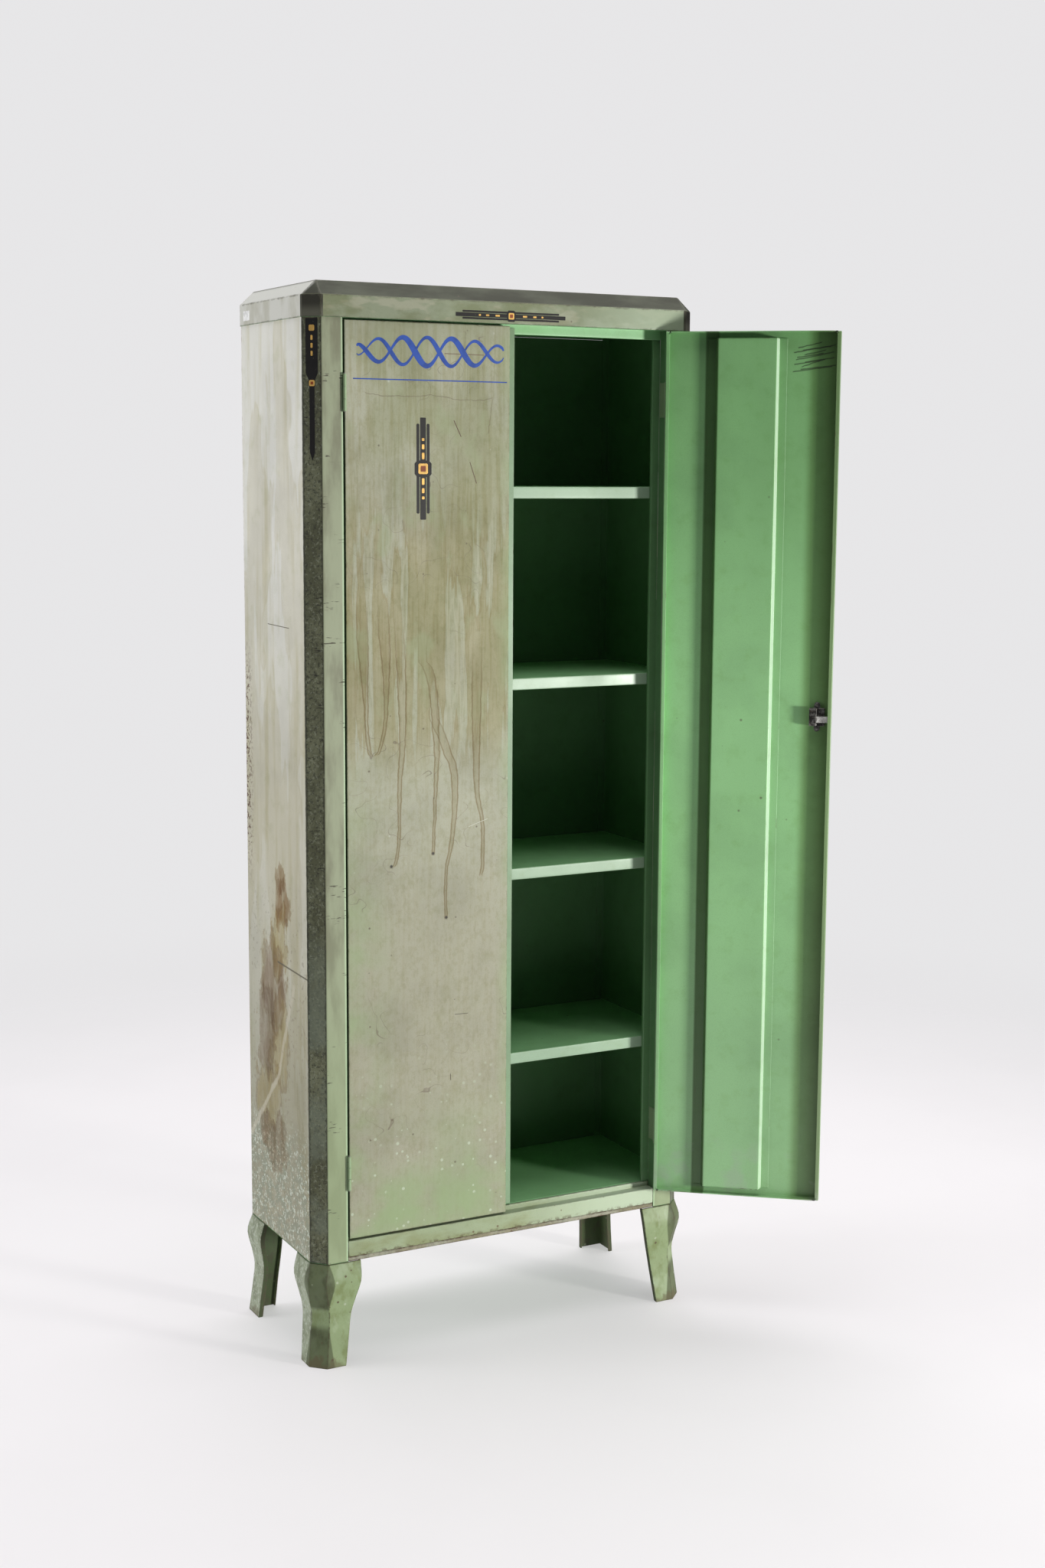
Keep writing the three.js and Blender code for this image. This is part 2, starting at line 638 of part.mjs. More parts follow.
// A round plate on the outside of the door, under the handle.
function handleRosette() {
  const plate = crossPost(ROSETTE_RADIUS, SPINDLE_X, SPINDLE_Z,
    front - GAP - ROSETTE_THICKNESS, front - GAP, 36);
  const bore = crossPost(SPINDLE_RADIUS + GAP, SPINDLE_X, SPINDLE_Z, HANDLE_REAR, front);
  return part('handle_rosette', cut(plate, bore), chrome);
}

// The handle is a small turn grip: a bar with rounded ends on a round collar.
function turnHandle() {
  const collarFront = HANDLE_REAR - COLLAR_LENGTH;
  const gripRear = HANDLE_REAR - GRIP_OVERLAP;
  const collar = crossPost(COLLAR_RADIUS, SPINDLE_X, SPINDLE_Z, collarFront, HANDLE_REAR, 32);
  const grip = new THREE.Shape();
  grip.absarc(GRIP_REACH, 0, GRIP_RADIUS, -Math.PI / 2, Math.PI / 2);
  grip.absarc(-GRIP_REACH, 0, GRIP_RADIUS, Math.PI / 2, Math.PI * 1.5);
  const bar = new THREE.ExtrudeGeometry(
    grip, { depth: GRIP_DEPTH, bevelEnabled: false, curveSegments: 8 });
  bar.rotateZ(Math.PI / 2).rotateX(Math.PI / 2).translate(SPINDLE_X, gripRear, SPINDLE_Z);
  const bore = crossPost(
    SPINDLE_RADIUS + GAP, SPINDLE_X, SPINDLE_Z, collarFront - 0.5, HANDLE_REAR + 1);
  return part('turn_handle', cut(join(collar, bar), bore), chrome);
}

// ---------------------------------------------------------------- assembly

// A door and everything on it, hung on its hinge axis and swung open by an angle.
function hangDoor(pieces, hand, openAngle) {
  const hung = new THREE.Group();
  hung.position.set(hand * pivotX, pivotY, 0);
  hung.rotation.z = hand * openAngle;
  for (const piece of pieces) {
    piece.geometry.translate(-hand * pivotX, -pivotY, 0);
    hung.add(piece);
  }
  return hung;
}

const cabinet = new THREE.Group();
cabinet.add(
  sidePanel('left_side_panel', -1),
  sidePanel('right_side_panel', 1),
  backPanel(),
  topCap(),
  topRail(),
  bottomRail(),
  frontStretcher(),
  floorPanel(),
  ...SHELF_TOPS.map((top, i) => shelf(`shelf_${i + 1}`, top)),
  leg('leg_front_left', frontLegCurve, CHAMFER, -1, -1),
  leg('leg_front_right', frontLegCurve, CHAMFER, 1, -1),
  leg('leg_rear_left', rearLegCurve, 0, -1, 1),
  leg('leg_rear_right', rearLegCurve, 0, 1, 1),
);

for (const [sideName, hand] of [['left', -1], ['right', 1]]) {
  for (const [level, height] of Object.entries(HINGE_HEIGHTS)) {
    cabinet.add(hingeLeaf(`${sideName}_frame_hinge_${level}`, true, hand, height));
    cabinet.add(hingePin(`${sideName}_hinge_pin_${level}`, hand, height));
  }
}

const doorHinges = (sideName, hand) => Object.entries(HINGE_HEIGHTS).map(([level, height]) =>
  hingeLeaf(`${sideName}_door_hinge_${level}`, false, hand, height));

const leftDoor = hangDoor([
  doorPanel('left_door_panel', -1),
  doorStiffener('left_door_stiffener', -1),
  lapStrip(),
  ...doorHinges('left', -1),
], -1, 0);

const rightDoor = hangDoor([
  doorPanel('right_door_panel', 1),
  doorStiffener('right_door_stiffener', 1),
  ...doorHinges('right', 1),
  latchCase(),
  latchScrew('latch_screw_upper', 1),
  latchScrew('latch_screw_lower', -1),
  latchBolt(),
  handleRosette(),
  handleSpindle(),
  turnHandle(),
], 1, RIGHT_DOOR_OPEN);

const group = new THREE.Group();
group.add(cabinet, leftDoor, rightDoor);

const footprint = new THREE.Box3().setFromObject(group, true).getCenter(new THREE.Vector3());
group.position.set(-footprint.x, -footprint.y, 0);
group.updateMatrixWorld(true);

export default group;
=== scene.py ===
import json
from math import cos, pi, radians, sin

import bmesh
import bpy
from mathutils import Matrix, Vector, kdtree, noise


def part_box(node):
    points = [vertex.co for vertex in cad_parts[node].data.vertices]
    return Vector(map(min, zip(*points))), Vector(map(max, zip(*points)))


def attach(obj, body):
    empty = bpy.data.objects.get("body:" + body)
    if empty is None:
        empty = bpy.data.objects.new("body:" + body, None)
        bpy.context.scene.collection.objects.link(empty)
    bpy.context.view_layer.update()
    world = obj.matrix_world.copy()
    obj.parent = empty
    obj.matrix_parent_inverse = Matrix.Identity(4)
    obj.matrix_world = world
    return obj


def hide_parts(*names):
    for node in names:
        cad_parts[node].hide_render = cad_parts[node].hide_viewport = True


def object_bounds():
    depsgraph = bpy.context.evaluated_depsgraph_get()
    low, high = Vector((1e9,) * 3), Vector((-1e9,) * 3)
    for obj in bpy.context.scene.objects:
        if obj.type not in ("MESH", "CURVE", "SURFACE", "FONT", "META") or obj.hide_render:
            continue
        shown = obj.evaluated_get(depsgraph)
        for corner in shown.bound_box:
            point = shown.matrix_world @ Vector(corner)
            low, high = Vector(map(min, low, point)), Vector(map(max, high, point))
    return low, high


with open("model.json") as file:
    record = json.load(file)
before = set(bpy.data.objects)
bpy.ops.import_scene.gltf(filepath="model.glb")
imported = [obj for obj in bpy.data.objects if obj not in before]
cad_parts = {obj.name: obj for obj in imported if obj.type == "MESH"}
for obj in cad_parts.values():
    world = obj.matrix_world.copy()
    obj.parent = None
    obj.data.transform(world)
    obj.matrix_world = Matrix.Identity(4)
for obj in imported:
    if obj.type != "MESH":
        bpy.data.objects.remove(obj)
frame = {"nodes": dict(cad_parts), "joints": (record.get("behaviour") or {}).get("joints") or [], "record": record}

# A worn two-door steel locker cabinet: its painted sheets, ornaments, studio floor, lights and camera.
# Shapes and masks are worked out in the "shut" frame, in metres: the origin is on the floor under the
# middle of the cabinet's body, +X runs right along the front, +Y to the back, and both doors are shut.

MM = 0.001
cad_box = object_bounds()

# ---------------------------------------------------------------- places taken from the frame

left_low, left_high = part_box("left_side_panel")
right_low, right_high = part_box("right_side_panel")
MIDDLE = Vector(((left_low.x + right_high.x) / 2, (left_low.y + left_high.y) / 2, 0))


def span(node):
    """The lowest and highest corner of a cabinet or left door node in the shut frame."""
    low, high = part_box(node)
    return low - MIDDLE, high - MIDDLE


HALF_WIDTH = (right_high.x - left_low.x) / 2
FRONT = left_low.y - MIDDLE.y
BACK = left_high.y - MIDDLE.y
BODY_BOTTOM = left_low.z
DOOR_LOW, DOOR_HIGH = span("left_door_panel")
DOOR_RIM_LOW, DOOR_RIM_HIGH = -DOOR_HIGH.x, -DOOR_LOW.x
RAIL_LOW, RAIL_HIGH = span("bottom_rail")
CAP_LOW, CAP_HIGH = span("top_cap")
STILE_INNER = -span("bottom_rail")[0].x
CHAMFER = 25 * MM
LEG_TOP = BODY_BOTTOM

RIGHT_HINGE = next(joint for joint in frame["joints"] if joint["name"] == "right_door_hinge")
PIVOT = Vector(RIGHT_HINGE["pos_m"])
OPEN_ANGLE = -radians(RIGHT_HINGE["range_deg"][0])
TO_MIDDLE = Matrix.Translation(-MIDDLE)
SWING_SHUT = Matrix.Translation(PIVOT) @ Matrix.Rotation(-OPEN_ANGLE, 4, "Z") @ Matrix.Translation(-PIVOT)
SWINGING = ("right_door", "latch_bolt", "handle")
BODY_OF = {node: body for body, nodes in frame["record"]["behaviour"]["bodies"].items() for node in nodes}


def to_shut(body):
    """Takes the row frame, with the right door open, to the shut frame."""
    return TO_MIDDLE @ SWING_SHUT if body in SWINGING else TO_MIDDLE


# ---------------------------------------------------------------- shader nodes

class Surface:
    """A material under construction: its colour, roughness and height so far, and short names for nodes."""

    def __init__(self, name, color, rough, swinging=False):
        self.material = bpy.data.materials.new(name)
        self.material.use_nodes = True
        self.tree = self.material.node_tree
        self.shader = self.tree.nodes["Principled BSDF"]
        self.color = self.tint(color)
        self.rough = rough
        self.height = 0.0
        place = self.node("ShaderNodeTexCoord", {}, "Object")
        if swinging:
            place = self.node("ShaderNodeVectorRotate", {
                "Vector": place, "Center": PIVOT, "Axis": (0, 0, 1), "Angle": -OPEN_ANGLE})
        self.at = self.vector("SUBTRACT", place, MIDDLE)
        parts = self.node("ShaderNodeSeparateXYZ", {"Vector": self.at}, None)
        self.x, self.y, self.z = parts.outputs

    def node(self, kind, inputs, output=0, **settings):
        made = self.tree.nodes.new(kind)
        for key, value in settings.items():
            setattr(made, key, value)
        for key, value in inputs.items():
            if isinstance(value, bpy.types.NodeSocket):
                self.tree.links.new(value, made.inputs[key])
            else:
                made.inputs[key].default_value = value
        return made if output is None else made.outputs[output]

    def math(self, operation, *values):
        return self.node("ShaderNodeMath", dict(enumerate(values)), operation=operation)

    def vector(self, operation, a, b):
        return self.node("ShaderNodeVectorMath", {0: a, 1: b}, operation=operation)

    def add(self, *values):
        total = values[0]
        for value in values[1:]:
            total = self.math("ADD", total, value)
        return total

    def times(self, *values):
        product = values[0]
        for value in values[1:]:
            product = self.math("MULTIPLY", product, value)
        return product

    def less(self, a, b):
        return self.math("SUBTRACT", a, b)

    def size(self, value):
        return self.math("ABSOLUTE", value)

    def most(self, *values):
        highest = values[0]
        for value in values[1:]:
            highest = self.math("MAXIMUM", highest, value)
        return highest

    def rise(self, value, start, end):
        """0 up to start and 1 from end on, smooth between; it falls where end is below start."""
        return self.node("ShaderNodeMapRange", {
            "Value": value, "From Min": start, "From Max": end}, interpolation_type="SMOOTHSTEP")

    def inside(self, value, low, high, soft):
        return self.times(self.rise(value, low - soft, low + soft), self.rise(value, high + soft, high - soft))

    def noise(self, size, detail=3.0, stretch=(1, 1, 1), rough=0.55, shift=0.0, bend=0.0):
        """Cloudy noise around 0.5 whose features are about size metres, times stretch along each axis."""
        scale = tuple(1 / (size * along) for along in stretch)
        where = self.vector("MULTIPLY", self.at, scale)
        if shift:
            where = self.vector("ADD", where, (shift, -shift, 2 * shift))
        return self.node("ShaderNodeTexNoise", {
            "Vector": where, "Scale": 1.0, "Detail": detail, "Roughness": rough, "Distortion": bend})

    def dots(self, spacing, radius, share, stretch=(1, 1, 1)):
        """Round dots of up to radius metres, in about that share of cells of the given spacing."""
        scale = tuple(1 / (spacing * along) for along in stretch)
        cells = self.node("ShaderNodeTexVoronoi", {
            "Vector": self.vector("MULTIPLY", self.at, scale), "Scale": 1.0}, None)
        luck = self.node("ShaderNodeSeparateXYZ", {"Vector": cells.outputs["Color"]}, None)
        reach = self.times(self.rise(luck.outputs[0], 1 - share, 1), radius / spacing)
        return self.rise(self.less(cells.outputs["Distance"], reach), 0.04, -0.04)

    def tint(self, color):
        return (*color, 1.0) if isinstance(color, tuple) and len(color) == 3 else color

    def mix(self, share, a, b):
        return self.node("ShaderNodeMixRGB", {
            "Fac": share, "Color1": self.tint(a), "Color2": self.tint(b)})

    def cover(self, share, color, rough=None, lift=0.0):
        """Lays a colour over what is there, with its own roughness and a step up or down in height."""
        self.color = self.mix(share, self.color, color)
        if rough is not None:
            self.rough = self.add(self.times(share, rough), self.times(self.less(1.0, share), self.rough))
        if lift:
            self.height = self.add(self.height, self.times(share, lift))

    def shade(self, share, factor):
        """Multiplies the colour by a factor, given as a grey or as red, green and blue."""
        tone = factor if isinstance(factor, tuple) else (factor, factor, factor)
        self.color = self.node("ShaderNodeMixRGB", {
            "Fac": share, "Color1": self.color, "Color2": self.tint(tone)}, blend_type="MULTIPLY")

    def path(self, along, points):
        """Where a line through the given points lies across, for each place along it; points are (along, across)."""
        points = sorted(points)
        starts = [point[0] for point in points]
        across = [point[1] for point in points]
        reach = max(across) - min(across) or 1.0
        share = self.node("ShaderNodeMapRange", {
            "Value": along, "From Min": starts[0], "From Max": starts[-1]})
        made = self.node("ShaderNodeFloatCurve", {"Value": share}, None)
        line = made.mapping.curves[0]
        scaled = [((a - starts[0]) / (starts[-1] - starts[0]), (b - min(across)) / reach) for a, b in points]
        line.points[0].location = scaled[0]
        line.points[1].location = scaled[-1]
        for place in scaled[1:-1]:
            line.points.new(*place)
        made.mapping.update()
        return self.add(self.times(made.outputs[0], reach), min(across))

    def spot(self, centre, radius, across=None, soft=0.5):
        """A round patch about a centre (across, z)."""
        across = self.x if across is None else across
        where = self.node("ShaderNodeCombineXYZ", {0: across, 1: self.z})
        away = self.node("ShaderNodeVectorMath", {0: where, 1: (*centre, 0)}, 1, operation="DISTANCE")
        return self.rise(away, radius * (1 + soft), radius * (1 - soft))

    def stroke(self, start, end, half, across=None):
        """A straight scratch from start to end, each given as (across, z)."""
        across = self.x if across is None else across
        a, b = Vector(start), Vector(end)
        along = (b - a).normalized()
        dx = self.less(across, a.x)
        dz = self.less(self.z, a.y)
        run = self.add(self.times(dx, along.x), self.times(dz, along.y))
        off = self.size(self.less(self.times(dz, along.x), self.times(dx, along.y)))
        return self.times(self.inside(run, 0, (b - a).length, half), self.rise(off, half, half * 0.4))

    def edges(self, reach, ragged=0.6):
        """Ragged wear within about reach metres of the folds and cut edges."""
        near = self.node("ShaderNodeAttribute", {}, "Fac", attribute_name="edge")
        away = self.times(self.less(1.0, near), EDGE_REACH)
        uneven = self.noise(9 * MM, 4.0, rough=0.7, shift=3.0)
        limit = self.times(self.rise(uneven, 0.5 - 0.25 / ragged, 0.5 + 0.25 / ragged), reach * 2)
        return self.rise(self.less(away, limit), reach * 0.3, -reach * 0.3)

    def done(self, metallic=0.0, bump=0.4, depth=0.5 * MM, **constants):
        self.tree.links.new(self.color, self.shader.inputs["Base Color"])
        if isinstance(self.rough, bpy.types.NodeSocket):
            self.tree.links.new(self.rough, self.shader.inputs["Roughness"])
        else:
            self.shader.inputs["Roughness"].default_value = self.rough
        self.shader.inputs["Metallic"].default_value = metallic
        for name, value in constants.items():
            self.shader.inputs[name.replace("_", " ")].default_value = value
        normal = self.node("ShaderNodeBump", {
            "Strength": bump, "Distance": depth, "Height": self.height}, "Normal")
        self.tree.links.new(normal, self.shader.inputs["Normal"])
        return self.material


# ---------------------------------------------------------------- paints

RUST = (0.075, 0.038, 0.018)
DIRT = (0.060, 0.056, 0.036)
MINT = (0.26, 0.53, 0.25)
# The next colour is a darker copy of the mint above: painted shade for the inside walls.
SHADED_MINT = (0.13, 0.28, 0.12)
HIGHLIGHT_MINT = (0.42, 0.58, 0.36)
MATT = 0.22


def enamel(name, color, rough=0.42, swinging=False):
    """Old gloss enamel: cloudy colour, fine grain, faint orange peel and uneven gloss."""
    s = Surface(name, color, rough, swinging)
    cloud = s.noise(0.16, 4.0)
    s.shade(s.rise(cloud, 0.42, 0.68), 0.88)
    s.shade(s.rise(s.noise(28 * MM, 3.0, shift=7.0), 0.5, 0.75), (0.92, 0.93, 0.88))
    s.shade(s.rise(s.noise(1.6 * MM, 2.0), 0.45, 0.8), 0.90)
    s.rough = s.add(rough, s.times(s.less(cloud, 0.5), 0.35))
    s.height = s.times(s.noise(2.2 * MM, 2.0, rough=0.4), 0.10)
    return s


def chips(s, reach, color=RUST, amount=1.0):
    """Paint lost along the edges, with a darker ring of grime around the loss."""
    s.cover(s.times(s.edges(reach * 2.2), 0.35 * amount), DIRT, 0.6)
    s.cover(s.times(s.edges(reach), amount), color, 0.65, -0.6)


def specks(s, spacing, radius, share, color, amount=0.85, where=None):
    """Small round flecks, over all of the surface or where a mask allows."""
    mask = s.times(s.dots(spacing, radius, share), amount)
    s.cover(mask if where is None else s.times(mask, where), color, 0.6, -0.3)


def watermarks(s, size, stretch, level, color, amount, shift=0.0, where=None):
    """Dried stains: a film of colour with a darker line where its edge dried."""
    field = s.noise(size, 3.0, stretch, 0.5, shift, 0.4)
    film = s.rise(field, level, level + 0.05)
    line = s.rise(s.size(s.less(field, level + 0.015)), 0.016, 0.004)
    both = s.times(s.add(s.times(film, 0.55), s.times(line, 0.45)), amount)
    s.shade(both if where is None else s.times(both, where), color)


# Each drip on the left door: its line down the door as (z, x), its half width, and whether it ends in a bead.
DRIPS = (
    (((1.330, -0.245), (1.185, -0.240), (1.112, -0.252), (1.100, -0.266)), 0.0050, False),
    (((1.330, -0.285), (1.200, -0.279), (1.119, -0.274), (1.100, -0.268)), 0.0050, False),
    (((1.300, -0.214), (1.119, -0.209), (1.040, -0.215), (0.954, -0.216), (0.900, -0.231)), 0.0042, True),
    (((1.260, -0.170), (1.106, -0.143), (1.040, -0.145), (0.954, -0.148), (0.917, -0.150)), 0.0040, True),
    (((1.160, -0.150), (1.099, -0.122), (1.040, -0.107), (0.941, -0.113), (0.875, -0.125), (0.799, -0.124)),
     0.0038, True),
    (((1.240, -0.064), (1.040, -0.064), (0.941, -0.051), (0.872, -0.055)), 0.0046, False),
)


def drips(s):
    """Lines of dried brown liquid, each with two darker edges, some ending in a bead at the foot."""
    waver = s.times(s.less(s.noise(18 * MM, 2.0, shift=11.0), 0.5), 5 * MM)
    for line, half, bead in DRIPS:
        foot = line[-1]
        head = line[0][0]
        off = s.size(s.less(s.less(s.x, waver), s.path(s.z, line)))
        width = s.add(half * 0.55, s.times(s.rise(s.z, foot[0] + 0.05, head), 1.5 * half))
        present = s.times(s.rise(s.z, foot[0] - 4 * MM, foot[0] + 4 * MM), s.rise(s.z, head + 0.08, head - 0.08))
        film = s.rise(s.less(off, width), 1.0 * MM, -1.0 * MM)
        edge = s.rise(s.size(s.less(off, width)), 1.8 * MM, 0.6 * MM)
        s.shade(s.times(present, film, 0.45), (0.70, 0.60, 0.42))
        s.shade(s.times(present, edge, 0.75), (0.56, 0.44, 0.27))
        if bead:
            s.cover(s.spot((foot[1], foot[0] + 2 * MM), 2.8 * MM), (0.03, 0.025, 0.018), 0.4)


def crackle(s):
    """A thin crack that runs across the left door under the painted rule and turns down at its end."""
    waver = s.times(s.less(s.noise(16 * MM, 3.0, shift=12.0), 0.5), 9 * MM)
    level = s.path(s.x, ((-0.278, 1.722), (-0.220, 1.716), (-0.150, 1.719), (-0.090, 1.712), (-0.035, 1.716)))
    line = s.rise(s.size(s.less(s.add(s.z, waver), level)), 1.1 * MM, 0.4 * MM)
    s.cover(s.times(line, s.inside(s.x, -0.278, -0.035, 2 * MM), 0.55), (0.15, 0.12, 0.08), 0.6, -0.2)
    drop = s.stroke((-0.035, 1.716), (-0.043, 1.655), 0.9 * MM, s.add(s.x, waver))
    s.cover(s.times(drop, 0.55), (0.15, 0.12, 0.08), 0.6, -0.2)


def weathered_door(name, swinging, marks):
    """The outside of a door: sage enamel gone beige, olive streaks above, cleaner green at the foot."""
    s = enamel(name, (0.375, 0.380, 0.290), 0.52, swinging)
    low, high = DOOR_LOW.z, DOOR_HIGH.z
    top_half = s.rise(s.z, 1.00, 1.30)
    s.shade(s.rise(s.z, 1.05, 0.75), (0.88, 0.86, 0.84))
    s.shade(s.times(top_half, s.rise(s.noise(0.10, 4.0, (1, 1, 2.2), shift=2.0), 0.34, 0.62)), (0.80, 0.82, 0.70))
    s.shade(s.rise(s.noise(7 * MM, 4.0, (1, 1, 1.6), 0.65, 3.0), 0.46, 0.66), (0.90, 0.90, 0.84))
    fine = s.noise(6 * MM, 3.0, (1, 1, 22), 0.6, 5.0)
    s.shade(s.times(s.rise(fine, 0.46, 0.62), s.add(s.times(top_half, 0.6), 0.3)), (0.87, 0.85, 0.74))
    running = s.times(s.rise(s.z, 1.04, 1.16), s.rise(s.z, 1.64, 1.40))
    columns = s.noise(22 * MM, 3.0, (1, 1, 13), 0.5, 9.0, 0.3)
    s.shade(s.times(running, s.rise(columns, 0.44, 0.52), 0.85), (0.87, 0.80, 0.63))
    s.shade(s.times(running, s.rise(s.size(s.less(columns, 0.48)), 0.022, 0.008), 0.6), (0.80, 0.70, 0.50))
    s.cover(s.times(running, s.rise(s.size(s.less(columns, 0.40)), 0.030, 0.010), 0.35), (0.42, 0.42, 0.32))
    watermarks(s, 0.060, (1, 1, 3.5), 0.50, (0.82, 0.80, 0.66), 0.6, 4.0, top_half)
    moss = s.times(top_half, s.rise(s.noise(0.075, 4.0, (1, 1, 1.5), shift=10.0), 0.52, 0.64))
    s.cover(s.times(moss, 0.45), (0.27, 0.32, 0.18))
    if marks:
        drips(s)
    outer_edge = s.rise(s.size(s.x), 0.200, 0.315)
    inner_edge = s.rise(s.size(s.x), 0.030, 0.000)
    foot = s.rise(s.z, 0.52, low)
    uneven = s.rise(s.noise(0.10, 4.0, shift=6.0), 0.30, 0.70)
    fresh = s.times(s.most(s.times(outer_edge, s.rise(s.z, 1.25, 0.6)), s.times(inner_edge, 0.55), foot), uneven)
    s.cover(s.times(fresh, 0.85), (0.255, 0.345, 0.175))
    s.cover(s.times(s.rise(s.z, high - 0.075, high), 0.35), (0.24, 0.26, 0.18))
    splash = s.rise(s.z, 0.66, 0.30)
    specks(s, 11 * MM, 3.0 * MM, 0.60, (0.46, 0.52, 0.40), 0.75, s.times(splash, s.rise(
        s.noise(0.05, 2.0, shift=8.0), 0.40, 0.55)))
    specks(s, 21 * MM, 2.0 * MM, 0.22, (0.10, 0.075, 0.05), 0.75)
    specks(s, 33 * MM, 2.2 * MM, 0.30, (0.50, 0.52, 0.44), 0.6)
    hairs = s.noise(0.055, 1.0, (1, 1, 1), 0.5, 14.0)
    s.cover(s.times(s.rise(s.size(s.less(hairs, 0.5)), 0.0035, 0.001), s.rise(
        s.noise(0.12, 1.0, shift=15.0), 0.56, 0.62), 0.6), (0.14, 0.11, 0.08), 0.6, -0.2)
    if marks:
        s.cover(s.stroke((-0.110, 1.677), (-0.096, 1.649), 1.1 * MM), (0.10, 0.055, 0.04))
        s.cover(s.stroke((-0.079, 1.606), (-0.066, 1.569), 1.0 * MM), (0.10, 0.06, 0.04))
        s.cover(s.stroke((-0.107, 0.621), (-0.080, 0.6205), 0.8 * MM), (0.10, 0.09, 0.07))
        s.cover(s.stroke((-0.1155, 0.512), (-0.1150, 0.500), 1.0 * MM), (0.08, 0.06, 0.04))
        s.cover(s.stroke((-0.080, 0.962), (-0.042, 0.974), 0.6 * MM), (0.55, 0.56, 0.47))
        s.cover(s.times(s.stroke((-0.128, 1.790), (-0.052, 1.7895), 1.2 * MM), 0.8), (0.15, 0.10, 0.07))
        crackle(s)
    chips(s, 0.8 * MM, amount=0.7)
    return s.done(bump=0.35, Specular_IOR_Level=MATT)


def green_inside(name, swinging=False, color=MINT, scuff_marks_and_painted_shade=False, gloss=0.5):
    """The cleaner mint enamel of the insides. On the open door's inside it also adds scuff marks, painted shadows along
    the free edge and the stiffener, a painted highlight on the rim's lip, painted shade toward the free edge, the top
    and the bottom, and grey dust at the foot.
    """
    s = enamel(name, color, 0.36, swinging)
    s.shade(s.rise(s.noise(0.22, 3.0, (1, 1, 3), shift=1.0), 0.45, 0.75), (0.90, 0.90, 0.86))
    specks(s, 42 * MM, 2.0 * MM, 0.30, (0.09, 0.07, 0.04), 0.8)
    if scuff_marks_and_painted_shade:
        shaky = s.add(s.x, s.times(s.less(s.noise(14 * MM, 2.0, shift=21.0), 0.5), 16 * MM))
        for i in range(11):
            start = (0.076 - 0.010 * sin(2.4 * i), 1.812 - 0.0042 * i)
            end = (0.022 + 0.013 * cos(1.7 * i), start[1] + 0.010 + 0.004 * sin(4.1 * i))
            s.cover(s.times(s.stroke(start, end, 1.5 * MM, shaky), 0.7), (0.035, 0.035, 0.028), 0.55)
        # Painted shadow of the rim: two darker bands along the free edge.
        s.shade(s.rise(s.x, 0.066, 0.046), (0.66, 0.66, 0.54))
        s.shade(s.rise(s.x, 0.046, 0.010), (0.62, 0.60, 0.52))
        # Painted highlight: a lighter colour over the painted shadow on the rim's end lip.
        lip = s.times(s.rise(s.y, DOOR_HIGH.y - 3 * MM, DOOR_HIGH.y - 1 * MM), s.rise(s.x, 0.030, 0.020))
        s.cover(lip, (0.24, 0.37, 0.17))
        # Painted shade: darker toward the free edge, toward the top and toward the bottom.
        s.shade(s.rise(s.x, 0.20, 0.12), 0.92)
        s.shade(s.rise(s.z, 1.10, 1.75), (0.62, 0.67, 0.60))
        s.shade(s.rise(s.z, 0.95, 0.45), (0.88, 0.83, 0.88))
        # Painted shadow: a dark band beside the stiffener, where its shadow falls.
        s.shade(s.rise(s.size(s.less(s.x, 0.2315)), 14 * MM, 10 * MM), (0.30, 0.33, 0.24))
        grey = s.times(s.rise(s.z, 0.40, 0.26), s.rise(s.noise(0.06, 4.0, shift=23.0), 0.50, 0.66))
        s.cover(s.times(grey, 0.35), (0.34, 0.38, 0.33))
    sparse = s.rise(s.noise(0.08, 2.0, shift=24.0), 0.52, 0.62)
    s.cover(s.times(s.edges(0.7 * MM), sparse, 0.8), (0.12, 0.10, 0.06), 0.6, -0.4)
    return s.done(bump=0.25, Specular_IOR_Level=gloss)


